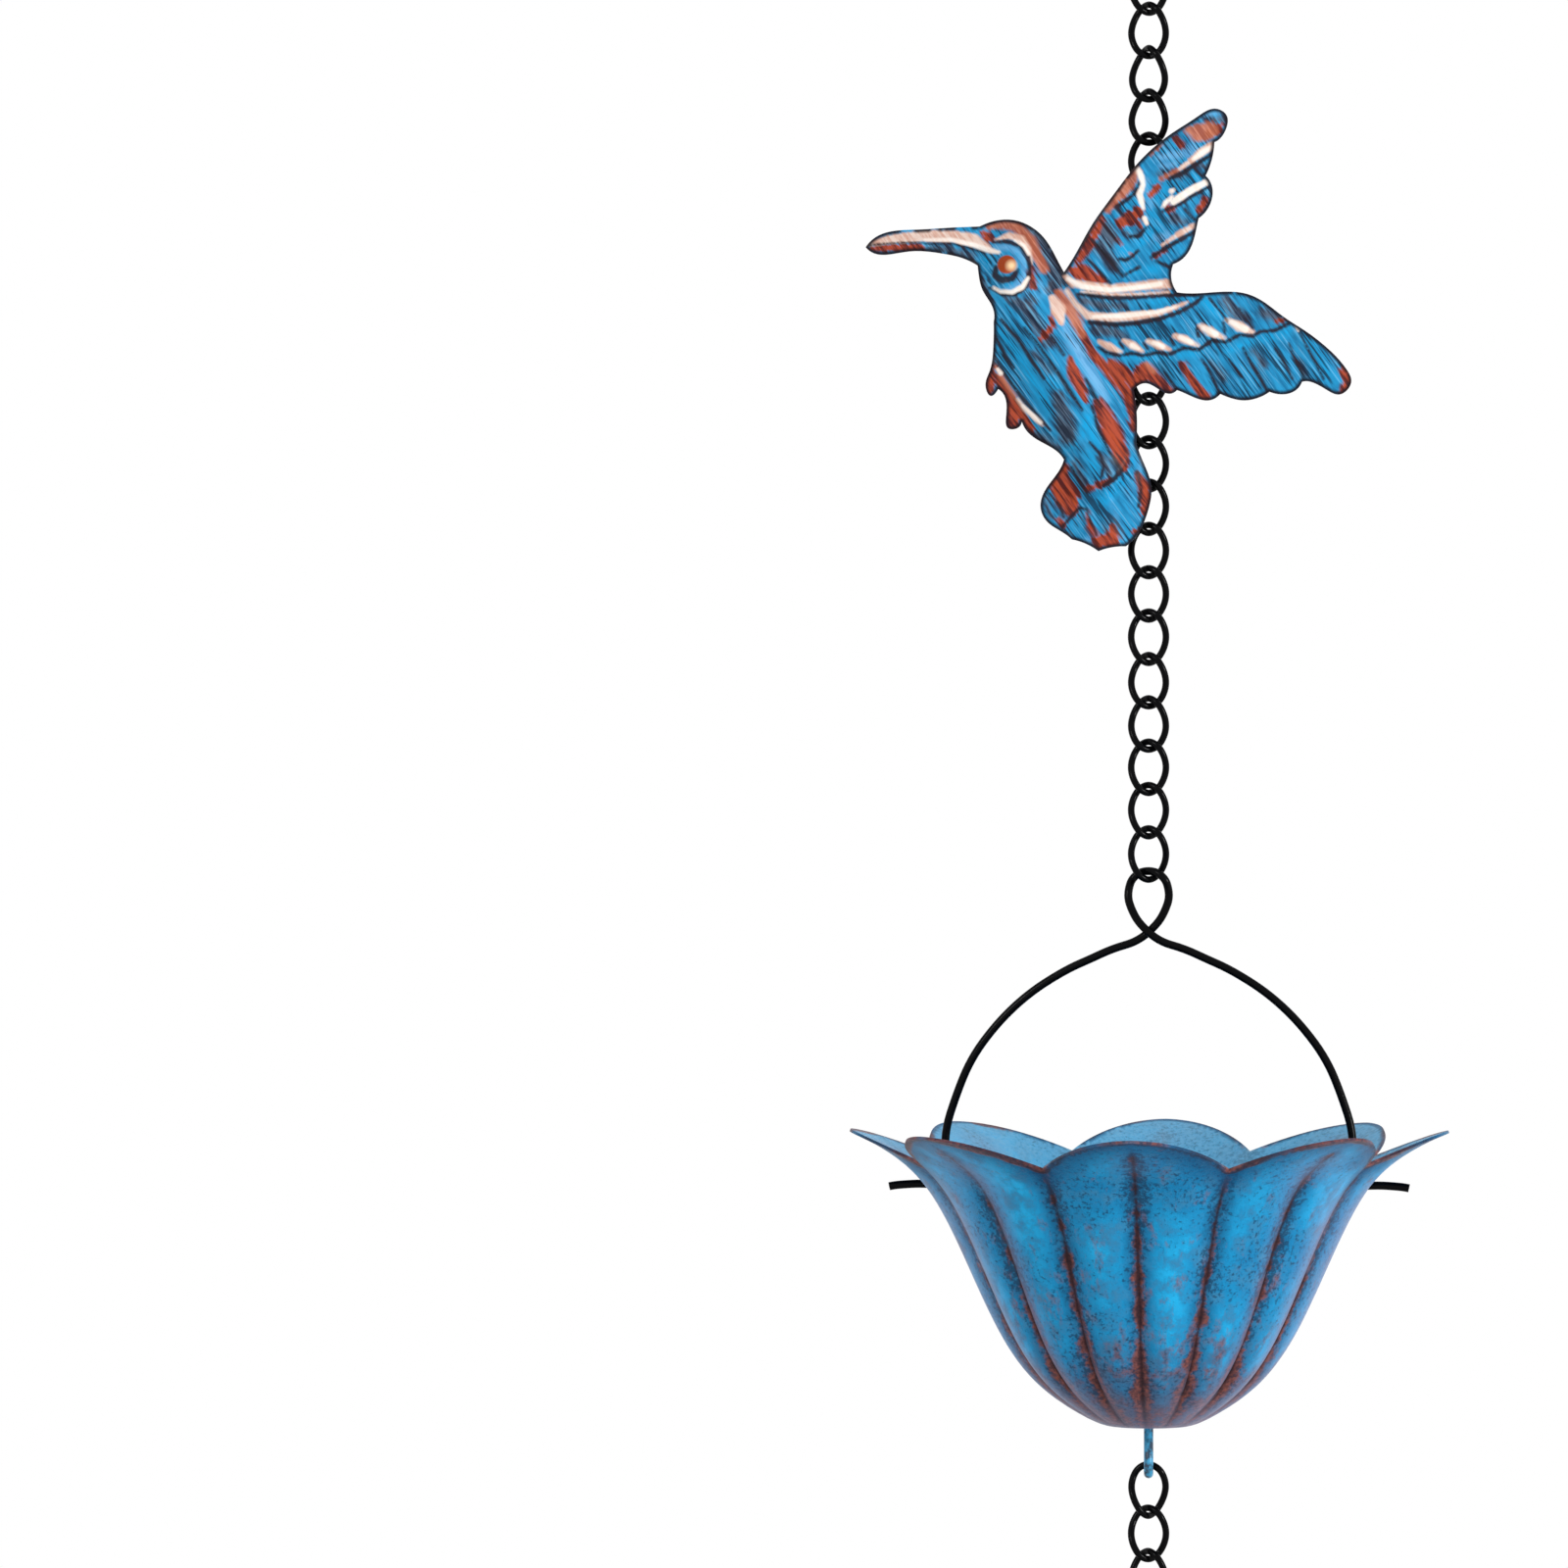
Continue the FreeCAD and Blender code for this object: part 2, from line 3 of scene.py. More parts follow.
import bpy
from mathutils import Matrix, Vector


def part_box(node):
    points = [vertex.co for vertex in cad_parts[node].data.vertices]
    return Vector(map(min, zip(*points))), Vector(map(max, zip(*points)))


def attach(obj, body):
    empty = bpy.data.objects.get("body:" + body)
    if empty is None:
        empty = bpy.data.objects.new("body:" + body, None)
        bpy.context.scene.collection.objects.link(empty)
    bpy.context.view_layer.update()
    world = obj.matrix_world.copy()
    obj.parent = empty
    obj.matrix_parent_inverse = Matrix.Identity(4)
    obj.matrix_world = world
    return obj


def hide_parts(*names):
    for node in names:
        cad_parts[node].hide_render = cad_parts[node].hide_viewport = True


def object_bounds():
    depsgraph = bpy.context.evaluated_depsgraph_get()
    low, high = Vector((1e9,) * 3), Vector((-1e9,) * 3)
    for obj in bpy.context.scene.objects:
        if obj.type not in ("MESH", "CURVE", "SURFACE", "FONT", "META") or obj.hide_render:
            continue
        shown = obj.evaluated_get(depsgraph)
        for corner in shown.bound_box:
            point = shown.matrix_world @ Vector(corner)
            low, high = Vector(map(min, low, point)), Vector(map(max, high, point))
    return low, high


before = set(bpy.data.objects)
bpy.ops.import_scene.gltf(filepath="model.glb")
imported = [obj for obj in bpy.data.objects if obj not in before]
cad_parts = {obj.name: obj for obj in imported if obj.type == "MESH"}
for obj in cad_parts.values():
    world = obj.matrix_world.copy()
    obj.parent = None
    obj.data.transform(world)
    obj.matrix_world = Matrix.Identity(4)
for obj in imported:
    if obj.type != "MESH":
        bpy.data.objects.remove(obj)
cad_box = [list(corner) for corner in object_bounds()]

import math

import bmesh
import bpy
import numpy as np
from mathutils import Matrix, Vector
from mathutils.kdtree import KDTree

# Camera and studio.
# A photographer's table for hanging goods: white paper far behind, a pale floor under the
# chain, one soft lamp at the right and a weaker one at the upper left.
MM = 0.001
camera_distance = 2.39
film_width = 36
picture_height = 0.4
picture_middle = -613.9 * MM
chain_off_middle = 93 * MM
floor_below_chain = 60 * MM
floor_radius = 0.9

scene = bpy.context.scene
camera = bpy.data.objects.new("camera", bpy.data.cameras.new("camera"))
scene.collection.objects.link(camera)
camera.location = (0, -camera_distance, picture_middle)
camera.rotation_euler = (math.pi / 2, 0, math.atan(chain_off_middle / camera_distance))
camera.data.sensor_width = film_width
camera.data.lens = film_width * camera_distance / picture_height
camera.data.clip_end = 50
scene.camera = camera
scene.view_settings.view_transform = "Standard"


def paint(code):
    """A linear colour from an sRGB hex value."""
    channels = [int(code[i : i + 2], 16) / 255 for i in (1, 3, 5)]
    return [c / 12.92 if c <= 0.04045 else ((c + 0.055) / 1.055) ** 2.4 for c in channels] + [1]


def add_node(tree, kind, sockets=(), **settings):
    """A new node's output; each socket is set to a value or linked to another output.

    Sockets whose names repeat go by number: 1 to 4 of a Map Range are From Min, From Max,
    To Min and To Max, 6 and 7 of a colour Mix are its two colours, and Math has 0, 1 and 2.
    """
    node = tree.nodes.new(kind)
    for name, value in settings.items():
        setattr(node, name, value)
    for socket, value in dict(sockets).items():
        if isinstance(value, bpy.types.NodeSocket):
            tree.links.new(value, node.inputs[socket])
        else:
            node.inputs[socket].default_value = paint(value) if isinstance(value, str) else value
    return next((output for output in node.outputs if output.enabled), None)


def soft_lamp(name, place, aim, size, power):
    """A square soft box that shines from place towards aim."""
    lamp = bpy.data.objects.new(name, bpy.data.lights.new(name, "AREA"))
    lamp.data.shape = "SQUARE"
    lamp.data.size = size
    lamp.data.energy = power
    lamp.location = place
    lamp.rotation_euler = (Vector(aim) - Vector(place)).to_track_quat("-Z", "Y").to_euler()
    scene.collection.objects.link(lamp)


soft_lamp("soft_box_left", (-1.3, -1.6, 0.3), (0, 0, -0.6), 0.45, 14)
soft_lamp("soft_box_right", (1.8, -1.2, -0.5), (0, 0, -0.6), 0.5, 31)

# the paper is white to the camera and in reflections, and lights the rest at half strength
white_paper = bpy.data.worlds.new("white_paper")
scene.world = white_paper
white_paper.use_nodes = True
tree = white_paper.node_tree
tree.nodes.clear()
ray = add_node(tree, "ShaderNodeLightPath").node.outputs
seen = add_node(tree, "ShaderNodeMath", {0: ray["Is Camera Ray"], 1: ray["Is Glossy Ray"]},
                operation="MAXIMUM")
seen = add_node(tree, "ShaderNodeMath", {0: seen, 1: ray["Is Transmission Ray"]},
                operation="MAXIMUM")
room = add_node(tree, "ShaderNodeBackground", {"Color": "#ffffff", "Strength": 0.5})
paper = add_node(tree, "ShaderNodeBackground", {"Color": "#ffffff", "Strength": 1.0})
mix = add_node(tree, "ShaderNodeMixShader", {0: seen, 1: room, 2: paper})
add_node(tree, "ShaderNodeOutputWorld", {"Surface": mix})

bm = bmesh.new()
bmesh.ops.create_circle(bm, cap_ends=True, segments=96, radius=floor_radius)
bmesh.ops.translate(bm, verts=bm.verts, vec=(0, 0, cad_box[0][2] - floor_below_chain))
floor = bpy.data.objects.new("floor", bpy.data.meshes.new("floor"))
bm.to_mesh(floor.data)
bm.free()
scene.collection.objects.link(floor)
paper_floor = bpy.data.materials.new("pale_paper_floor")
paper_floor.use_nodes = True
paper = paper_floor.node_tree.nodes["Principled BSDF"]
paper.inputs["Base Color"].default_value = paint("#f1f1ef")
paper.inputs["Roughness"].default_value = 0.9
floor.data.materials.append(paper_floor)


# Curb chain and bails.
# Round steel wire, bent, twisted and welded into links, and one longer wire bent to each
# bail, all dipped in black enamel: a deep gloss black with a thin, slightly uneven skin.
enamelled_wire = bpy.data.materials.new("black_enamel_on_steel_wire")
enamelled_wire.use_nodes = True
tree = enamelled_wire.node_tree
skin = tree.nodes["Principled BSDF"]
place = add_node(tree, "ShaderNodeTexCoord").node.outputs["Object"]
# runs in the enamel, about 3 mm long
runs = add_node(tree, "ShaderNodeTexNoise", {"Vector": place, "Scale": 330, "Detail": 2})
tint = add_node(tree, "ShaderNodeMix", {"Factor": runs, 6: "#010102", 7: "#09090b"},
                data_type="RGBA")
gloss = add_node(tree, "ShaderNodeMapRange", {"Value": runs, 3: 0.14, 4: 0.3})
# orange peel of the dipped skin, 0.5 mm across
peel = add_node(tree, "ShaderNodeTexNoise", {"Vector": place, "Scale": 2000, "Detail": 1})
bump = add_node(tree, "ShaderNodeBump", {"Height": peel, "Strength": 0.08, "Distance": 0.0003})
tree.links.new(tint, skin.inputs["Base Color"])
tree.links.new(gloss, skin.inputs["Roughness"])
tree.links.new(bump, skin.inputs["Normal"])
skin.inputs["IOR"].default_value = 1.15

for name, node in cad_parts.items():
    if name.startswith(("top_link", "chain_", "bail_")):
        node.data.materials.clear()
        node.data.materials.append(enamelled_wire)


# Flower cups.
# Copper sheet pressed to eight petals. Its blue patina is sponged on and rubbed back: pale on the
# crowns of the flutes, rust in the creases and along the rim, smoky at the foot. The pale crowns
# are partly painted light; painted shade lies beside the creases and under the rim, with painted
# highlights on the cut edge and a lilac painted sheen where the wall turns away.
repeat_pitch = 394.175 * MM
crease_step = math.radians(22.5)
cup_turn = math.radians(-3.3)
smooth_up_to = math.radians(40)
square_from = math.radians(55)
smallest_side = 0.08 * MM
rim_above_foot = 60 * MM
rim_radius = 57 * MM
creases_end_below_rim = 8 * MM
floor_reach = 15 * MM


def welded_copy(name, node_name, longest):
    """A CAD node's mesh as a new piece's: joined up, with edges longer than longest cut."""
    bm = bmesh.new()
    bm.from_mesh(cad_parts[node_name].data)
    bmesh.ops.remove_doubles(bm, verts=bm.verts, dist=1e-6)
    while True:
        lengths = {edge: edge.calc_length() for edge in bm.edges}
        cut = [
            edge
            for edge, length in lengths.items()
            if length > longest
            and all(length >= lengths[other] for face in edge.link_faces for other in face.edges)
        ]
        if not cut:
            break
        bmesh.ops.subdivide_edges(bm, edges=cut, cuts=1, use_single_edge=True)
        bmesh.ops.triangulate(bm, faces=[face for face in bm.faces if len(face.verts) > 3])
    for face in bm.faces:
        face.smooth = True
    for edge in bm.edges:
        edge.smooth = edge.calc_face_angle(0) < smooth_up_to
    piece = bpy.data.objects.new(name, bpy.data.meshes.new(name))
    bm.to_mesh(piece.data)
    bm.free()
    scene.collection.objects.link(piece)
    return piece


def sharp_edge_middles(piece):
    """The middle of every edge where two faces, not slivers, stand about square to each other."""
    bm = bmesh.new()
    bm.from_mesh(piece.data)
    middles = [
        (edge.verts[0].co + edge.verts[1].co) / 2
        for edge in bm.edges
        if edge.calc_face_angle(0) > square_from
        and min(face.calc_area() for face in edge.link_faces) > smallest_side**2
    ]
    bm.free()
    return middles


def near_to(points, spots):
    """How far each point is from the nearest spot, in millimetres."""
    tree = KDTree(len(spots))
    for i, spot in enumerate(spots):
        tree.insert(spot, i)
    tree.balance()
    return [tree.find(point)[2] / MM for point in points]


def write_attribute(piece, name, values):
    """Keeps one number for each vertex, for the material to read."""
    layer = piece.data.attributes.new(name, "FLOAT", "POINT")
    layer.data.foreach_set("value", values)


def hang(first, name, repeats_below, body, node_name):
    """A first piece, or its copy some repeats further down, in place of a CAD node."""
    piece = first
    if repeats_below:
        piece = bpy.data.objects.new(name, first.data.copy())
        piece.data.transform(Matrix.Translation((0, 0, -repeats_below * repeat_pitch)))
        scene.collection.objects.link(piece)
    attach(piece, body)
    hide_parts(node_name)


patina = bpy.data.materials.new("blue_patina_on_pressed_copper")
patina.use_nodes = True
tree = patina.node_tree
skin = tree.nodes["Principled BSDF"]
place = add_node(tree, "ShaderNodeTexCoord").node.outputs["Object"]
crease, rim, height, inside = (
    add_node(tree, "ShaderNodeAttribute", attribute_name=name).node.outputs["Fac"]
    for name in ("crease_mm", "rim_mm", "height_mm", "inside")
)
outer = add_node(tree, "ShaderNodeMath", {0: 1.0, 1: inside}, operation="SUBTRACT")
# sponge dabs, 25 mm and 6 mm across
clouds = add_node(tree, "ShaderNodeTexNoise", {"Vector": place, "Scale": 40, "Detail": 3})
dabs = add_node(tree, "ShaderNodeTexNoise",
                {"Vector": place, "Scale": 170, "Detail": 5, "Roughness": 0.65})
# crackle of the dried patina, 1.2 mm across
crackle = add_node(tree, "ShaderNodeTexNoise",
                   {"Vector": place, "Scale": 850, "Detail": 5, "Roughness": 0.75})

# the blue, deep beside the creases and bright on the crowns, where it is mottled: partly the
# rubbed-back patina, partly painted light and shade for the relief of the flutes
crown = add_node(tree, "ShaderNodeMapRange", {"Value": crease, 1: 1.0, 2: 7.5})
sponged = add_node(tree, "ShaderNodeMapRange", {"Value": clouds, 1: 0.34, 2: 0.62})
crown = add_node(tree, "ShaderNodeMath", {0: crown, 1: sponged}, operation="MULTIPLY")
mottled = add_node(tree, "ShaderNodeMapRange", {"Value": dabs, 1: 0.62, 2: 0.42, 3: 0.1})
crown = add_node(tree, "ShaderNodeMath", {0: crown, 1: mottled}, operation="MULTIPLY")
colour = add_node(tree, "ShaderNodeMix", {"Factor": crown, 6: "#1483ba", 7: "#24b5ee"},
                  data_type="RGBA")
share = add_node(tree, "ShaderNodeMapRange", {"Value": dabs, 1: 0.48, 2: 0.67, 4: 0.55})
colour = add_node(tree, "ShaderNodeMix", {"Factor": share, 6: colour, 7: "#4a8bb0"},
                  data_type="RGBA")
# painted shade: a ragged band of deep blue along each crease
shade = add_node(tree, "ShaderNodeMath", {0: dabs, 1: 9.0, 2: crease}, operation="MULTIPLY_ADD")
share = add_node(tree, "ShaderNodeMapRange", {"Value": shade, 1: 5.0, 2: 8.5, 3: 0.75, 4: 0.0})
share = add_node(tree, "ShaderNodeMath", {0: share, 1: outer}, operation="MULTIPLY")
colour = add_node(tree, "ShaderNodeMix", {"Factor": share, 6: colour, 7: "#17557c"},
                  data_type="RGBA")
# smoke, from the foot up to a ragged height
drift = add_node(tree, "ShaderNodeMath", {0: dabs, 1: -34.0, 2: height}, operation="MULTIPLY_ADD")
smoke = add_node(tree, "ShaderNodeMapRange", {"Value": drift, 1: -14.0, 2: 6.0, 3: 0.9, 4: 0.0})
smoke = add_node(tree, "ShaderNodeMath", {0: smoke, 1: outer}, operation="MULTIPLY")
colour = add_node(tree, "ShaderNodeMix", {"Factor": smoke, 6: colour, 7: "#474d68"},
                  data_type="RGBA")
# dark crackle, thickest in patches and beside the creases
patch = add_node(tree, "ShaderNodeMapRange",
                 {"Value": clouds, 1: 0.42, 2: 0.6, 3: 0.035, 4: -0.07})
beside_crease = add_node(tree, "ShaderNodeMapRange",
                         {"Value": crease, 1: 1, 2: 4.5, 3: 0.12, 4: 0})
grit = add_node(tree, "ShaderNodeMath", {0: patch, 1: beside_crease}, operation="ADD")
grit = add_node(tree, "ShaderNodeMath", {0: grit, 1: crackle}, operation="ADD")
share = add_node(tree, "ShaderNodeMapRange", {"Value": grit, 1: 0.56, 2: 0.64, 4: 0.7})
colour = add_node(tree, "ShaderNodeMix", {"Factor": share, 6: colour, 7: "#16304c"},
                  data_type="RGBA")
# inside it is paler
share = add_node(tree, "ShaderNodeMapRange", {"Value": crackle, 1: 0.42, 2: 0.6, 3: 0.72, 4: 0.4})
share = add_node(tree, "ShaderNodeMath", {0: inside, 1: share}, operation="MULTIPLY")
colour = add_node(tree, "ShaderNodeMix", {"Factor": share, 6: colour, 7: "#7cc0e6"},
                  data_type="RGBA")
# rust along the creases: a ragged band, wider towards the foot
wander = add_node(tree, "ShaderNodeMath", {0: dabs, 1: 9.0, 2: -4.6}, operation="MULTIPLY_ADD")
wander = add_node(tree, "ShaderNodeMath", {0: crackle, 1: 3.0, 2: wander},
                  operation="MULTIPLY_ADD")
ragged = add_node(tree, "ShaderNodeMath", {0: crease, 1: wander}, operation="ADD")
reach = add_node(tree, "ShaderNodeMapRange", {"Value": height, 1: 6, 2: 50, 3: 4.1, 4: 2.0})
rusted = add_node(tree, "ShaderNodeMath", {0: reach, 1: ragged}, operation="SUBTRACT")
rusted = add_node(tree, "ShaderNodeMapRange", {"Value": rusted, 1: 0.0, 2: 1.2})
kept = add_node(tree, "ShaderNodeMapRange", {"Value": inside, 3: 0.85, 4: 0.15})
rusted = add_node(tree, "ShaderNodeMath", {0: rusted, 1: kept}, operation="MULTIPLY")
rust = add_node(tree, "ShaderNodeMapRange", {"Value": crackle, 1: 0.42, 2: 0.6})
rust = add_node(tree, "ShaderNodeMix", {"Factor": rust, 6: "#8c4a36", 7: "#472a2c"},
                data_type="RGBA")
colour = add_node(tree, "ShaderNodeMix", {"Factor": rusted, 6: colour, 7: rust}, data_type="RGBA")
# smears of rust, up the wall from the foot
smear = add_node(tree, "ShaderNodeMapping", {"Vector": place, "Scale": (5 * MM, 5 * MM, 16 * MM)},
                 vector_type="TEXTURE")
smear = add_node(tree, "ShaderNodeTexNoise",
                 {"Vector": smear, "Scale": 1, "Detail": 6, "Roughness": 0.7})
low = add_node(tree, "ShaderNodeMapRange", {"Value": height, 1: 5, 2: 60, 3: 0.04, 4: -0.05})
smear = add_node(tree, "ShaderNodeMath", {0: smear, 1: low}, operation="ADD")
share = add_node(tree, "ShaderNodeMapRange", {"Value": smear, 1: 0.53, 2: 0.67, 4: 0.7})
share = add_node(tree, "ShaderNodeMath", {0: share, 1: outer}, operation="MULTIPLY")
colour = add_node(tree, "ShaderNodeMix", {"Factor": share, 6: colour, 7: rust}, data_type="RGBA")
# a dark line in the bottom of each crease
bottom = add_node(tree, "ShaderNodeMath", {0: dabs, 1: 2.4, 2: -1.2}, operation="MULTIPLY_ADD")
bottom = add_node(tree, "ShaderNodeMath", {0: crease, 1: bottom}, operation="ADD")
share = add_node(tree, "ShaderNodeMapRange", {"Value": bottom, 1: 0.1, 2: 0.9, 3: 0.85, 4: 0})
share = add_node(tree, "ShaderNodeMath", {0: share, 1: outer}, operation="MULTIPLY")
colour = add_node(tree, "ShaderNodeMix", {"Factor": share, 6: colour, 7: "#26161e"},
                  data_type="RGBA")
# painted shade: deep blue under the rim, and a thin line of rust on it that comes and goes
share = add_node(tree, "ShaderNodeMapRange", {"Value": rim, 1: 2.0, 2: 9.0, 3: 0.75, 4: 0})
share = add_node(tree, "ShaderNodeMath", {0: share, 1: outer}, operation="MULTIPLY")
colour = add_node(tree, "ShaderNodeMix", {"Factor": share, 6: colour, 7: "#064e7c"},
                  data_type="RGBA")
at_rim = add_node(tree, "ShaderNodeMath", {0: clouds, 1: 9.0, 2: -3.7}, operation="MULTIPLY_ADD")
at_rim = add_node(tree, "ShaderNodeMath", {0: at_rim, 1: rim}, operation="SUBTRACT")
share = add_node(tree, "ShaderNodeMapRange", {"Value": at_rim, 1: -0.6, 2: 0.2, 4: 0.85})
colour = add_node(tree, "ShaderNodeMix", {"Factor": share, 6: colour, 7: rust}, data_type="RGBA")
# painted shadow: a thin dark line just under the rim's cut edge, broken here and there
under_rim_shadow = add_node(tree, "ShaderNodeMath", {0: rim, 1: 1.3}, operation="SUBTRACT")
under_rim_shadow = add_node(tree, "ShaderNodeMath", {0: under_rim_shadow}, operation="ABSOLUTE")
under_rim_shadow = add_node(tree, "ShaderNodeMath", {0: dabs, 1: 1.4, 2: under_rim_shadow}, operation="MULTIPLY_ADD")
share = add_node(tree, "ShaderNodeMapRange", {"Value": under_rim_shadow, 1: 0.7, 2: 1.2, 3: 0.8, 4: 0})
share = add_node(tree, "ShaderNodeMath", {0: share, 1: outer}, operation="MULTIPLY")
colour = add_node(tree, "ShaderNodeMix", {"Factor": share, 6: colour, 7: "#2b2534"},
                  data_type="RGBA")
# painted highlight: the cut edge pale where it isn't rusted
edge_glint = add_node(tree, "ShaderNodeMapRange", {"Value": clouds, 1: 0.52, 2: 0.42})
share = add_node(tree, "ShaderNodeMapRange", {"Value": rim, 1: 0.3, 2: 0.9, 3: 0.8, 4: 0})
share = add_node(tree, "ShaderNodeMath", {0: share, 1: edge_glint}, operation="MULTIPLY")
colour = add_node(tree, "ShaderNodeMix", {"Factor": share, 6: colour, 7: "#a5d6ee"},
                  data_type="RGBA")
# painted sheen: a lilac-grey reflection where the wall turns away, except near the rim
grazing_sheen = add_node(tree, "ShaderNodeLayerWeight", {"Blend": 0.5}).node.outputs["Facing"]
share = add_node(tree, "ShaderNodeMapRange", {"Value": grazing_sheen, 1: 0.38, 2: 0.92, 4: 0.55})
under = add_node(tree, "ShaderNodeMapRange", {"Value": rim, 1: 5.0, 2: 16.0})
share = add_node(tree, "ShaderNodeMath", {0: share, 1: under}, operation="MULTIPLY")
colour = add_node(tree, "ShaderNodeMix", {"Factor": share, 6: colour, 7: "#989fc4"},
                  data_type="RGBA")

tree.links.new(colour, skin.inputs["Base Color"])
sheen = add_node(tree, "ShaderNodeMapRange", {"Value": crackle, 3: 0.26, 4: 0.5})
tree.links.new(sheen, skin.inputs["Roughness"])
pebbles = add_node(tree, "ShaderNodeMath", {0: dabs, 1: 0.8, 2: crackle}, operation="MULTIPLY_ADD")
bump = add_node(tree, "ShaderNodeBump", {"Height": pebbles, "Strength": 0.5, "Distance": 0.0006})
tree.links.new(bump, skin.inputs["Normal"])
skin.inputs["IOR"].default_value = 1.2
skin.inputs["Sheen Weight"].default_value = 0.08
skin.inputs["Sheen Roughness"].default_value = 0.35
skin.inputs["Sheen Tint"].default_value = paint("#cfc6ea")

cup = welded_copy("pressed_cup_1", "flower_cup_1", 3 * MM)
cup.data.materials.append(patina)
foot_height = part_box("flower_cup_1")[0].z
rim_spots = [
    spot
    for spot in sharp_edge_middles(cup)
    if spot.z - foot_height > rim_above_foot and math.hypot(spot.x, spot.y) > rim_radius
]
from_rim = near_to([vertex.co for vertex in cup.data.vertices], rim_spots)
creases, insides, heights = [], [], []
for vertex, rim_gap in zip(cup.data.vertices, from_rim):
    point = vertex.co
    radius = math.hypot(point.x, point.y)
    steps = (math.atan2(point.y, point.x) - cup_turn) / crease_step
    nearest = round(steps)
    away = abs(steps - nearest) * crease_step * radius / MM
    # the even creases, down the middle of the petals, end short of the rim
    if nearest % 2 == 0:
        away += max(0, creases_end_below_rim / MM - rim_gap)
    creases.append(away)
    faces_inwards = vertex.normal.x * point.x + vertex.normal.y * point.y < 0
    on_the_floor = radius < floor_reach and vertex.normal.z > 0.7
    insides.append(1.0 if faces_inwards or on_the_floor else 0.0)
    heights.append((point.z - foot_height) / MM)
write_attribute(cup, "crease_mm", creases)
write_attribute(cup, "rim_mm", from_rim)
write_attribute(cup, "height_mm", heights)
write_attribute(cup, "inside", insides)
for number in (1, 2, 3):
    hang(cup, f"pressed_cup_{number}", number - 1, f"cup_{number}", f"flower_cup_{number}")


# Cup hooks.
# Copper wire bent to an eye under each cup and brushed with the same blue, worn through to
# dark copper in short bands.
brushed_hook = bpy.data.materials.new("blue_paint_on_copper_wire")
brushed_hook.use_nodes = True
tree = brushed_hook.node_tree
skin = tree.nodes["Principled BSDF"]
place = add_node(tree, "ShaderNodeTexCoord").node.outputs["Object"]
# worn spots, about 2.5 mm across
wear = add_node(tree, "ShaderNodeTexNoise", {"Vector": place, "Scale": 420, "Detail": 3})
worn = add_node(tree, "ShaderNodeMapRange", {"Value": wear, 1: 0.48, 2: 0.6})
colour = add_node(tree, "ShaderNodeMix", {"Factor": worn, 6: "#3f9cc8", 7: "#2c4258"},
                  data_type="RGBA")
bump = add_node(tree, "ShaderNodeBump", {"Height": wear, "Strength": 0.2, "Distance": 0.0003})
tree.links.new(colour, skin.inputs["Base Color"])
tree.links.new(bump, skin.inputs["Normal"])
skin.inputs["Roughness"].default_value = 0.35
skin.inputs["IOR"].default_value = 1.4
for number in (1, 2, 3):
    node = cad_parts[f"cup_hook_{number}"]
    node.data.materials.clear()
    node.data.materials.append(brushed_hook)


# Hummingbirds.
# Thin copper sheet stamped from behind, dipped dark, brushed with bright blue in strokes down
# the feathers, and wiped so that the copper shows on the ridges and stays bare at the edges. Pale
# pink and white strokes on the ridges and some of the pale blue are painted highlights, and the
# dark dip beside the ridges is partly painted shade.
first_link_below_origin = 55.25 * MM
paint_spread = 0.1 * MM
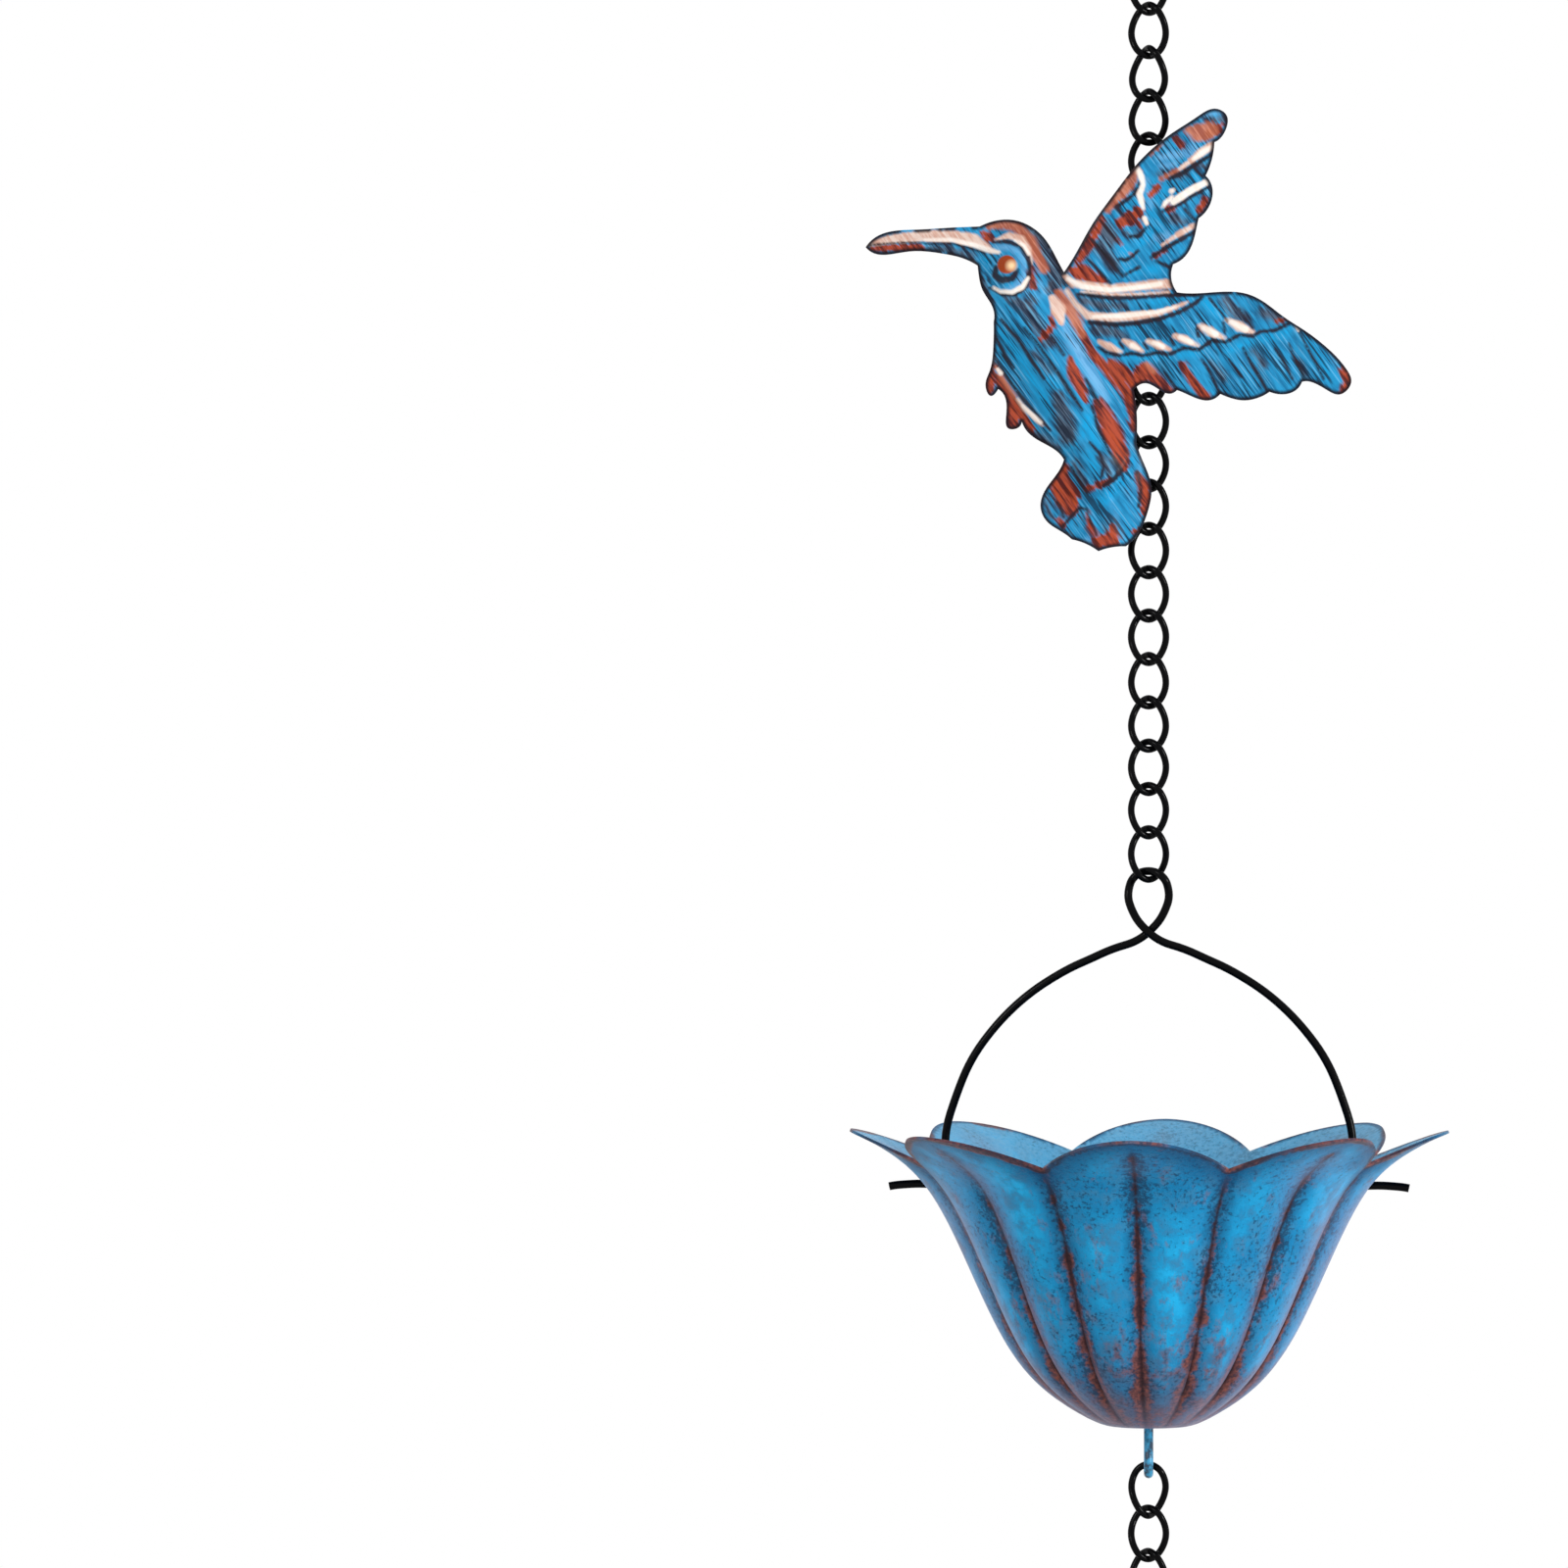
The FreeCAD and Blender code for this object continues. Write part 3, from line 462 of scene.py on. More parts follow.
# The paint's places are points across and up from the bearing of the first link behind the
# bird, in millimetres: the eye, the painted highlight on it, and what the brush and the rag left,
# layer by layer, as tapered strokes, painted highlights and painted shade among them. Each point
# of a stroke also has half the stroke's width there.
eye_centre = (-36.0, -32.5)
glint_centre = (-34.8, -32.8)
strokes_of = {
    "bright_blue": (
        ((-42.3, -30.8, 1.0), (-40.5, -31.5, 1.5)),
        ((-37.5, -49.5, 0.8), (-34.0, -54.5, 1.2), (-30.5, -60.0, 1.3), (-27.0, -66.0, 1.3),
         (-25.0, -70.0, 0.9)),
        ((-28.0, -57.0, 0.6), (-24.5, -61.5, 1.0), (-22.5, -64.0, 0.6)),
        ((-21.0, -79.0, 1.0), (-17.0, -76.0, 1.4), (-15.5, -71.5, 1.3), (-14.0, -77.0, 1.0),
         (-12.0, -80.0, 0.6)),
        ((-15.5, -80.5, 0.9), (-13.5, -84.0, 1.1)),
        ((-13.5, -94.0, 1.2), (-10.0, -91.0, 1.5), (-6.5, -87.5, 1.3), (-4.2, -82.0, 1.0)),
        ((-18.0, -96.0, 0.8), (-18.6, -99.2, 1.4)),
        ((-2.0, -26.5, 1.4), (2.5, -22.8, 0.9), (0.5, -18.5, 0.8), (2.5, -15.5, 1.0),
         (5.0, -12.0, 0.9)),
        ((-6.5, -28.5, 1.2), (-4.0, -29.3, 1.0)),
        ((-5.8, -17.8, 0.9), (-3.5, -16.5, 0.7)),
        ((8.5, -9.5, 0.6), (12.5, -10.3, 0.8)),
        ((-5.0, -34.0, 0.8), (2.0, -33.5, 1.2)),
        ((0.0, -42.2, 0.9), (7.0, -41.3, 0.7)),
        ((14.5, -42.0, 1.2), (18.0, -45.0, 1.2)),
        ((20.0, -54.5, 0.8), (27.0, -51.6, 1.0), (34.5, -50.0, 1.0), (37.0, -48.0, 0.7)),
        ((-7.0, -55.8, 0.5), (3.0, -56.0, 0.7), (12.0, -55.0, 0.8)),
        ((39.5, -52.0, 0.9), (44.0, -57.5, 1.0), (47.5, -62.0, 0.9)),
    ),
    # pale blue paint, and painted highlight along the shoulder and round the eye
    "pale_blue_and_highlight": (
        ((-22.0, -47.0, 1.0), (-18.5, -53.0, 1.4), (-15.0, -59.0, 1.6), (-12.5, -64.0, 1.4),
         (-10.5, -67.0, 0.6)),
        ((-39.5, -28.2, 0.3), (-36.0, -27.9, 0.7), (-33.0, -29.3, 0.8), (-31.3, -32.4, 0.9),
         (-31.2, -35.5, 0.8), (-33.0, -38.2, 0.8), (-36.0, -38.8, 0.6)),
        ((14.0, 5.6, 0.8), (18.0, 6.6, 0.8)),
        ((3.0, -5.0, 0.9), (8.0, -4.4, 1.2), (11.5, -3.2, 1.3)),
        ((3.5, -7.5, 0.6), (7.0, -6.8, 0.8)),
        ((-15.5, -102.6, 0.4), (-14.3, -104.0, 0.7)),
        ((2.0, -25.5, 0.8), (4.5, -25.2, 0.8)),
        ((-0.5, -11.0, 0.4), (-0.3, -14.0, 0.5), (0.8, -17.5, 0.6)),
    ),
    "smoked": (
        ((-35.0, -21.2, 1.0), (-31.0, -22.6, 1.5), (-27.5, -26.5, 2.3), (-24.6, -31.5, 2.3),
         (-22.6, -36.0, 2.0), (-24.5, -38.5, 1.5)),
        ((-56.5, -27.9, 0.6), (-50.0, -28.5, 1.1), (-45.0, -30.2, 1.2)),
        ((-42.6, -35.5, 0.6), (-41.3, -39.5, 1.0), (-39.8, -42.0, 0.8)),
        ((-36.0, -40.8, 1.1), (-31.0, -43.5, 1.8), (-28.5, -48.0, 1.8), (-25.5, -52.0, 1.7)),
        ((-29.0, -55.0, 0.7), (-25.5, -60.0, 0.8)),
        ((-22.8, -66.0, 1.6), (-21.5, -71.0, 2.5), (-20.6, -76.0, 2.2)),
        ((-30.0, -74.5, 0.8), (-26.5, -76.8, 1.3), (-23.0, -79.0, 0.8)),
        ((-18.8, -83.0, 0.8), (-16.5, -88.0, 1.2)),
        ((-12.0, -81.5, 0.8), (-9.5, -85.5, 1.0)),
        ((-26.3, -91.5, 0.7), (-24.8, -96.5, 0.8)),
        ((-11.0, -97.5, 0.5), (-10.5, -100.0, 0.8)),
        ((-12.5, -21.5, 1.6), (-9.5, -25.5, 2.2), (-12.5, -28.0, 1.7), (-9.0, -32.5, 1.5)),
        ((-6.0, -24.3, 0.7), (-3.5, -25.0, 0.8)),
        ((15.0, 4.3, 0.6), (18.8, 4.6, 1.0)),
        ((3.0, -9.4, 0.5), (9.0, -9.0, 0.6)),
        ((6.5, -20.6, 1.4), (9.0, -21.6, 1.0)),
        ((7.5, -10.2, 0.5), (9.5, -9.2, 0.7)),
        ((12.8, -7.0, 0.8), (14.8, -7.6, 0.8)),
        ((-16.5, -41.6, 1.3), (-11.0, -43.0, 1.3), (-6.0, -43.0, 1.0)),
        ((-13.0, -48.9, 1.4), (-8.0, -49.6, 1.2), (-6.0, -51.0, 0.7)),
        ((19.5, -41.5, 1.4), (22.5, -45.0, 1.8), (24.5, -46.0, 1.2)),
        ((29.5, -44.5, 1.4), (33.0, -46.2, 1.5)),
        ((26.5, -54.5, 0.8), (29.0, -58.0, 1.1)),
        ((16.0, -57.0, 0.7), (19.0, -61.0, 0.9)),
        ((38.0, -57.5, 0.7), (39.5, -60.5, 0.6)),
    ),
    "rusted": (
        ((-71.0, -28.2, 0.6), (-65.0, -27.9, 1.0), (-57.5, -27.9, 0.9)),
        ((-42.2, -24.0, 0.7), (-41.0, -25.3, 1.3), (-39.8, -26.0, 0.5)),
        ((-30.0, -33.5, 0.6), (-29.3, -38.0, 0.9)),
        ((-19.8, -56.5, 0.8), (-19.0, -60.0, 1.7), (-17.3, -63.5, 1.6), (-16.0, -67.0, 0.7)),
        ((-16.8, -50.0, 0.9), (-14.4, -54.5, 1.2), (-11.0, -58.5, 1.3), (-7.5, -62.0, 1.7),
         (-5.0, -65.5, 1.5), (-4.0, -70.0, 1.1), (-3.6, -74.0, 0.8)),
        ((-12.6, -67.5, 1.3), (-11.0, -71.0, 2.2), (-9.0, -76.0, 2.5), (-7.0, -81.0, 2.0),
         (-6.3, -84.0, 1.0)),
        ((-9.5, -57.6, 1.4), (-6.0, -60.5, 1.9), (-3.5, -62.3, 1.8), (-1.0, -59.5, 2.2),
         (1.5, -61.2, 1.5)),
        ((0.2, -59.0, 1.0), (3.0, -62.5, 1.2), (5.5, -64.6, 1.0)),
        ((8.8, -58.0, 0.9), (11.5, -62.5, 1.2), (14.5, -66.0, 1.3)),
        ((49.4, -59.0, 1.0), (50.6, -62.5, 1.3), (49.5, -65.0, 1.0)),
        ((-39.9, -57.5, 0.5), (-40.5, -62.0, 1.6), (-40.6, -64.8, 1.0)),
        ((-38.0, -61.0, 1.2), (-36.0, -65.5, 1.6), (-34.3, -69.5, 2.2), (-34.8, -73.5, 1.6)),
        ((-33.0, -70.0, 1.2), (-30.0, -73.8, 1.1)),
        ((-22.2, -84.3, 1.9), (-23.0, -87.5, 2.6), (-20.8, -91.5, 3.0), (-19.6, -94.3, 2.0)),
        ((-23.0, -97.0, 0.6), (-21.5, -98.3, 0.8)),
        ((-15.6, -95.5, 0.5), (-14.8, -99.0, 0.7), (-13.0, -101.5, 0.7)),
        ((-12.5, -102.8, 1.7), (-9.0, -102.4, 1.7), (-9.3, -99.5, 1.0)),
        ((-16.0, -89.5, 0.6), (-12.5, -88.6, 0.8), (-10.0, -87.5, 0.5)),
        ((-2.6, -86.0, 0.8), (-1.1, -89.0, 1.5), (-0.6, -92.5, 1.5), (-1.2, -95.5, 0.9)),
        ((-3.6, -100.2, 0.7), (-2.0, -100.0, 0.5)),
        ((-20.0, -33.6, 0.9), (-17.0, -34.4, 2.2), (-12.0, -36.5, 1.2)),
        ((-17.5, -31.0, 0.9), (-14.5, -26.5, 1.1), (-12.0, -21.5, 0.8)),
        ((-18.8, -32.5, 0.6), (-15.2, -25.5, 0.7), (-12.2, -20.5, 0.7)),
        ((-6.7, -21.6, 1.5), (-4.2, -20.4, 1.7), (-2.3, -18.8, 1.2)),
        ((-2.4, -21.6, 0.7), (-1.8, -22.6, 0.6)),
        ((-8.0, -26.0, 0.4), (-6.8, -27.4, 0.4)),
        ((0.6, -14.6, 0.9), (2.3, -12.6, 0.8)),
        ((5.0, -16.8, 0.4), (5.0, -18.3, 0.9), (6.4, -18.1, 0.6)),
        ((14.4, -16.0, 0.9), (13.0, -18.4, 0.9)),
        ((15.4, 1.2, 0.9), (17.4, 1.8, 1.2), (18.4, 3.0, 0.7)),
        ((6.9, -0.6, 0.7), (8.2, -2.0, 0.9)),
        ((1.5, -30.3, 0.6), (4.0, -28.8, 0.5)),
        ((-24.5, -45.0, 0.6), (-24.6, -48.5, 0.8), (-27.2, -51.3, 0.7)),
        ((32.5, -46.8, 0.5), (34.5, -46.4, 0.4)),
    ),
    "copper": (
        ((-41.0, -22.7, 0.5), (-37.0, -22.0, 1.1), (-33.5, -22.8, 1.1), (-30.2, -26.0, 1.2),
         (-28.3, -30.5, 1.3), (-26.8, -33.5, 1.1)),
        ((-22.6, -39.6, 1.0), (-20.3, -43.0, 1.6), (-18.4, -47.0, 1.5), (-17.0, -50.0, 0.9)),
        ((-10.5, -18.5, 0.8), (-9.0, -16.0, 1.5), (-6.6, -13.0, 2.1), (-4.8, -10.3, 2.0),
         (-3.4, -8.0, 0.8)),
        ((10.2, 1.8, 1.0), (12.8, 1.0, 2.2), (15.4, 1.6, 2.0)),
        ((0.5, -4.2, 0.4), (3.0, -2.0, 0.5)),
        ((-38.8, -58.3, 0.6), (-37.0, -61.3, 0.6), (-34.0, -65.8, 0.6)),
        ((-0.5, -57.5, 0.5), (1.2, -59.5, 0.6)),
        ((3.0, -10.7, 0.3), (6.0, -9.3, 0.4), (9.0, -7.6, 0.4)),
        ((-5.0, -29.6, 0.2), (-4.0, -29.8, 0.2)),
    ),
    # painted highlights, pale pink, on the ridges
    "pink_highlight": (
        ((-71.4, -27.1, 0.5), (-66.0, -25.8, 1.1), (-57.0, -24.9, 1.4), (-50.0, -25.1, 1.5),
         (-44.5, -26.0, 1.6), (-41.0, -28.0, 0.7)),
        ((-38.8, -26.0, 0.2), (-35.5, -25.0, 0.8), (-32.4, -25.9, 0.8), (-30.6, -28.5, 0.6),
         (-29.6, -32.0, 0.2)),
        ((-24.4, -41.0, 0.9), (-22.9, -43.9, 1.8), (-22.2, -47.0, 0.8)),
        ((-21.0, -35.2, 0.5), (-19.0, -37.2, 0.9), (-15.0, -37.9, 1.0), (-10.0, -38.4, 0.9),
         (-4.0, -38.0, 1.0), (2.0, -37.4, 1.1), (5.8, -37.2, 1.0)),
        ((-17.0, -39.4, 0.3), (-8.0, -40.1, 0.4), (-2.0, -40.0, 0.4), (5.0, -39.5, 0.3)),
        ((-20.8, -39.0, 0.5), (-18.6, -42.5, 0.6), (-15.5, -45.4, 0.9), (-10.0, -46.0, 1.1),
         (-4.0, -45.6, 1.1), (2.0, -44.9, 0.8), (6.0, -43.6, 0.5), (9.8, -42.0, 0.2)),
        ((-12.6, -52.0, 0.4), (-10.0, -53.3, 1.0), (-7.0, -54.6, 0.4)),
        ((-6.3, -51.7, 0.4), (-4.0, -53.0, 1.0), (-1.4, -54.5, 0.3)),
        ((-0.2, -51.9, 0.5), (2.5, -52.9, 1.0), (5.4, -54.1, 0.3)),
        ((6.8, -50.6, 0.6), (9.5, -51.6, 1.0), (12.6, -53.1, 0.3)),
        ((13.1, -47.9, 0.5), (15.6, -49.5, 1.2), (19.2, -51.2, 0.4)),
        ((19.8, -46.4, 0.5), (23.0, -48.2, 1.3), (26.4, -49.6, 0.5)),
        ((16.4, -2.0, 0.8), (13.6, -3.8, 1.1), (11.0, -5.9, 0.6), (8.0, -8.0, 0.4)),
        ((11.5, -22.5, 0.6), (8.5, -24.2, 0.7), (6.0, -25.7, 0.4), (3.5, -27.4, 0.2)),
        ((-33.2, -66.6, 0.4), (-31.5, -69.0, 0.5), (-28.6, -71.7, 0.5), (-26.8, -73.1, 0.3)),
        ((-3.6, -7.4, 0.4), (-2.4, -9.0, 0.7)),
    ),
    # the dark dip left in the grooves, partly painted shade beside the ridges
    "dark_dip_and_shade": (
        ((-39.6, -26.6, 0.2), (-36.0, -26.5, 0.5), (-32.8, -27.5, 0.5), (-30.6, -30.5, 0.5),
         (-30.1, -34.5, 0.5), (-31.2, -38.2, 0.5), (-33.8, -40.2, 0.5), (-37.0, -40.2, 0.5),
         (-40.2, -38.4, 0.4)),
        ((-38.8, -33.2, 0.5), (-38.9, -35.3, 0.8), (-37.0, -36.6, 0.9), (-34.6, -36.2, 0.7),
         (-33.2, -34.0, 0.4)),
        ((-57.0, -26.9, 0.2), (-50.0, -26.9, 0.3), (-44.5, -28.3, 0.3), (-41.5, -29.3, 0.2)),
        ((-71.0, -27.3, 0.2), (-64.0, -26.7, 0.2), (-57.0, -26.7, 0.2)),
        ((-38.9, -50.5, 0.3), (-36.6, -55.5, 0.5), (-34.3, -58.6, 0.3)),
        ((-38.6, -57.2, 0.4), (-35.0, -62.3, 0.5), (-31.5, -67.0, 0.5), (-27.2, -71.9, 0.4),
         (-25.0, -74.5, 0.3)),
        ((-37.5, -46.5, 0.3), (-33.5, -51.0, 0.4), (-29.5, -57.0, 0.5), (-26.5, -61.5, 0.3)),
        ((-31.5, -48.5, 0.3), (-27.5, -53.5, 0.4), (-23.0, -60.0, 0.5), (-19.0, -66.0, 0.5),
         (-16.8, -69.5, 0.3)),
        ((-24.8, -51.0, 0.3), (-21.5, -55.5, 0.3)),
        ((-16.0, -61.5, 0.3), (-13.5, -66.0, 0.4), (-12.0, -68.5, 0.3)),
        ((-14.4, -68.5, 0.3), (-12.6, -74.5, 0.4), (-10.0, -80.0, 0.4), (-7.0, -84.6, 0.5),
         (-8.5, -86.8, 0.6), (-11.5, -88.8, 0.4)),
        ((-19.5, -84.0, 0.3), (-17.0, -88.5, 0.5), (-15.5, -90.5, 0.3)),
        ((-15.0, -77.8, 0.3), (-12.5, -80.5, 0.4), (-11.4, -83.5, 0.3), (-11.9, -86.5, 0.3)),
        ((-21.8, -98.9, 0.3), (-19.8, -96.6, 0.4), (-17.6, -94.2, 0.4), (-15.8, -94.6, 0.3),
         (-14.6, -98.0, 0.3), (-13.2, -101.2, 0.3)),
        ((-25.2, -90.5, 0.3), (-22.5, -93.5, 0.3), (-21.6, -96.5, 0.3)),
        ((-2.2, -11.2, 0.2), (-3.0, -14.0, 0.4), (-5.5, -15.9, 0.4), (-8.2, -17.8, 0.5),
         (-6.5, -20.0, 0.3)),
        ((16.2, -4.3, 0.5), (12.0, -6.9, 0.5), (8.5, -9.2, 0.6), (5.5, -10.5, 0.4)),
        ((15.3, -12.6, 0.3), (11.0, -14.9, 0.5), (8.0, -17.0, 0.4), (3.8, -18.8, 0.3)),
        ((11.9, -23.9, 0.4), (7.5, -26.4, 0.5), (3.5, -28.7, 0.4), (0.8, -30.4, 0.4)),
        ((2.0, -31.5, 0.3), (5.2, -32.9, 0.5)),
        ((-14.2, -26.0, 0.3), (-9.8, -31.2, 0.5), (-6.5, -35.3, 0.4)),
        ((-16.0, -30.5, 0.2), (-12.5, -34.0, 0.4), (-9.5, -37.2, 0.3)),
        ((-12.5, -21.0, 0.3), (-9.5, -24.5, 0.4), (-7.5, -27.0, 0.3)),
        ((-7.4, -30.9, 0.4), (-5.8, -31.2, 0.5), (-4.0, -30.1, 0.4), (-2.7, -28.8, 0.3)),
        ((-5.5, -34.6, 0.3), (-2.5, -33.0, 0.4)),
        ((-4.8, -25.2, 0.4), (-2.6, -25.2, 0.5), (-0.8, -23.2, 0.3)),
        ((9.2, -18.2, 0.3), (11.6, -21.0, 0.3)),
        ((11.4, -7.8, 0.3), (13.8, -10.0, 0.3)),
        ((-17.8, -39.9, 0.4), (-10.0, -40.9, 0.5), (-4.0, -40.8, 0.5), (4.0, -40.2, 0.4),
         (12.5, -40.0, 0.4)),
        ((-15.0, -47.1, 0.5), (-8.0, -47.7, 0.6), (-3.0, -47.3, 0.5), (3.0, -46.2, 0.5),
         (8.0, -44.5, 0.4), (12.0, -42.1, 0.5), (13.6, -40.6, 0.4)),
        ((-12.8, -53.4, 0.3), (-10.0, -55.0, 0.4), (-7.0, -55.5, 0.3), (-4.2, -54.9, 0.4),
         (-1.5, -55.6, 0.3), (2.0, -54.8, 0.4), (5.4, -55.2, 0.4), (9.0, -53.6, 0.4),
         (12.8, -54.1, 0.4), (16.0, -51.8, 0.5), (19.8, -52.1, 0.4), (23.0, -50.3, 0.4),
         (26.5, -50.6, 0.4), (28.5, -49.4, 0.3), (32.0, -49.2, 0.4), (35.5, -47.5, 0.4)),
        ((-6.4, -53.4, 0.3), (-7.4, -52.4, 0.3)),
        ((-0.3, -53.8, 0.3), (-1.2, -52.5, 0.3)),
        ((6.4, -52.9, 0.3), (5.6, -51.6, 0.3)),
        ((12.7, -50.6, 0.4), (12.2, -48.7, 0.3)),
        ((19.5, -49.6, 0.3), (18.9, -47.3, 0.3)),
        ((24.0, -53.6, 0.3), (26.6, -58.5, 0.4), (30.2, -64.5, 0.4)),
        ((35.6, -52.5, 0.2), (37.6, -57.5, 0.3), (39.6, -61.5, 0.4)),
        ((13.5, -56.5, 0.2), (15.6, -60.0, 0.3), (18.0, -65.0, 0.4)),
        ((2.5, -57.3, 0.2), (4.5, -60.3, 0.4), (7.0, -64.0, 0.3)),
        ((20.5, -56.5, 0.2), (23.5, -61.0, 0.3)),
        ((15.5, -41.0, 0.3), (18.5, -44.5, 0.3), (20.0, -46.8, 0.3)),
        ((23.0, -43.5, 0.2), (26.5, -48.5, 0.3)),
        ((38.0, -49.0, 0.2), (41.5, -56.0, 0.3), (44.5, -61.5, 0.3)),
        ((32.0, -54.0, 0.2), (34.5, -57.5, 0.3), (36.5, -61.5, 0.2)),
        ((-3.0, -85.0, 0.2), (-1.8, -89.5, 0.3), (-2.6, -94.0, 0.3)),
    ),
    # painted highlights, white, on the ridges and the eye ring
    "white_highlight": (
        ((-57.0, -25.9, 0.2), (-50.0, -25.9, 0.4), (-44.5, -27.3, 0.5), (-40.5, -28.7, 0.6),
         (-38.0, -29.3, 0.3)),
        ((-39.4, -38.4, 0.3), (-37.5, -39.4, 0.4), (-34.6, -39.6, 0.5), (-32.0, -38.3, 0.5),
         (-30.6, -36.0, 0.3)),
        ((-34.0, -26.2, 0.2), (-31.6, -27.6, 0.4), (-30.4, -29.8, 0.3)),
        ((-2.7, -8.0, 0.3), (-1.9, -10.0, 0.7), (-1.3, -12.0, 0.5), (-2.3, -14.6, 0.7),
         (-1.8, -16.6, 0.6), (-1.3, -18.2, 0.3)),
        ((-1.0, -20.6, 0.5), (-0.5, -21.9, 0.4)),
        ((14.5, -11.5, 0.7), (11.0, -13.3, 0.8), (8.0, -15.3, 0.8), (6.2, -16.6, 0.6)),
        ((6.0, -15.2, 0.3), (4.4, -16.6, 0.5), (3.6, -17.8, 0.3)),
        ((5.8, -13.7, 0.5), (6.2, -13.5, 0.4)),
        ((15.8, -2.6, 0.4), (13.4, -4.1, 0.6), (11.4, -5.6, 0.3)),
        ((-20.5, -36.0, 0.4), (-17.0, -38.0, 0.6), (-10.0, -38.9, 0.5), (-4.0, -38.3, 0.5),
         (3.0, -37.3, 0.5)),
        ((-14.0, -45.7, 0.3), (-6.0, -45.4, 0.6), (2.0, -44.5, 0.4), (7.0, -43.1, 0.2)),
        ((-2.5, -53.9, 0.2), (-4.2, -53.0, 0.6)),
        ((1.2, -52.3, 0.4), (3.6, -53.3, 0.5)),
        ((8.0, -50.9, 0.5), (10.8, -52.2, 0.5)),
        ((14.0, -48.5, 0.5), (17.0, -50.2, 0.7)),
        ((21.0, -47.0, 0.5), (24.6, -48.9, 0.7)),
        ((-32.0, -68.2, 0.2), (-29.0, -71.2, 0.5), (-27.4, -72.6, 0.3)),
        ((-38.4, -58.9, 0.3), (-37.6, -60.0, 0.5)),
        ((37.4, -47.9, 0.2), (38.0, -49.2, 0.2)),
    ),
}


def depth_in(strokes, x, z):
    """How deep each point lies inside the nearest of some tapered strokes, in millimetres."""
    deepest = np.full(len(x), -9.0)
    for stroke in strokes:
        for (ax, az, a_half), (bx, bz, b_half) in zip(stroke, stroke[1:]):
            length = (bx - ax) ** 2 + (bz - az) ** 2
            along = np.clip(((x - ax) * (bx - ax) + (z - az) * (bz - az)) / length, 0, 1)
            gap = np.hypot(x - ax - along * (bx - ax), z - az - along * (bz - az))
            deepest = np.maximum(deepest, a_half + along * (b_half - a_half) - gap)
    return deepest


stamped = bpy.data.materials.new("blue_brushed_on_stamped_copper")
stamped.use_nodes = True
tree = stamped.node_tree
skin = tree.nodes["Principled BSDF"]
place = add_node(tree, "ShaderNodeTexCoord").node.outputs["Object"]
# the brush went as the feathers lie, and left broad marks 4 mm wide, streaks of 0.8 mm and
# hairs of 0.45 mm
lean = (0, math.radians(-36), 0)
marks, streaks, hairs = (
    add_node(tree, "ShaderNodeMapping",
             {"Vector": place, "Rotation": lean, "Scale": (wide * MM, deep * MM, long * MM)},
             vector_type="TEXTURE")
    for wide, deep, long in ((4, 9, 15), (0.8, 4, 9), (0.45, 5, 15))
)
marks = add_node(tree, "ShaderNodeTexNoise", {"Vector": marks, "Scale": 1, "Detail": 3})
streaks = add_node(tree, "ShaderNodeTexNoise",
                   {"Vector": streaks, "Scale": 1, "Detail": 3, "Roughness": 0.6})
hairs = add_node(tree, "ShaderNodeTexNoise", {"Vector": hairs, "Scale": 1, "Detail": 2})
ragged = add_node(tree, "ShaderNodeMath", {0: streaks, 1: 5.0, 2: -2.5}, operation="MULTIPLY_ADD")
streak = add_node(tree, "ShaderNodeMapRange", {"Value": streaks, 1: 0.42, 2: 0.6})


def painted_over(colour, layer, body, streaked, wander, blur, cover):
    """The colour with a painted layer over it, wherever the layer's strokes lie."""
    depth = add_node(tree, "ShaderNodeAttribute", attribute_name=layer).node.outputs["Fac"]
    depth = add_node(tree, "ShaderNodeMath", {0: ragged, 1: wander, 2: depth},
                     operation="MULTIPLY_ADD")
    outline = -paint_spread / MM
    share = add_node(tree, "ShaderNodeMapRange",
                     {"Value": depth, 1: outline - blur, 2: outline + blur, 4: cover})
    mark = add_node(tree, "ShaderNodeMix", {"Factor": streak, 6: body, 7: streaked},
                    data_type="RGBA")
    return add_node(tree, "ShaderNodeMix", {"Factor": share, 6: colour, 7: mark},
                    data_type="RGBA")


# the blue ground, the paler and the smoked strokes on it
share = add_node(tree, "ShaderNodeMapRange", {"Value": streaks, 1: 0.38, 2: 0.6})
colour = add_node(tree, "ShaderNodeMix", {"Factor": share, 6: "#2c9bd0", 7: "#1e78a8"},
                  data_type="RGBA")
colour = painted_over(colour, "bright_blue", "#14a6e2", "#228fc2", 1.0, 0.7, 0.9)
# pale blue strokes, partly painted highlight
colour = painted_over(colour, "pale_blue_and_highlight", "#79bae8", "#539ccf", 1.0, 0.7, 0.85)
colour = painted_over(colour, "smoked", "#586679", "#262a3c", 1.0, 0.8, 0.95)
# single hairs of the brush, light and dark
heavy = add_node(tree, "ShaderNodeMath", {0: marks, 1: 0.7, 2: -0.35}, operation="MULTIPLY_ADD")
heavy = add_node(tree, "ShaderNodeMath", {0: heavy, 1: hairs}, operation="ADD")
dark = add_node(tree, "ShaderNodeMapRange", {"Value": heavy, 1: 0.56, 2: 0.64, 4: 0.85})
light = add_node(tree, "ShaderNodeMapRange", {"Value": hairs, 1: 0.4, 2: 0.34, 4: 0.5})
colour = add_node(tree, "ShaderNodeMix", {"Factor": light, 6: colour, 7: "#79c2ea"},
                  data_type="RGBA")
colour = add_node(tree, "ShaderNodeMix", {"Factor": dark, 6: colour, 7: "#131d30"},
                  data_type="RGBA")
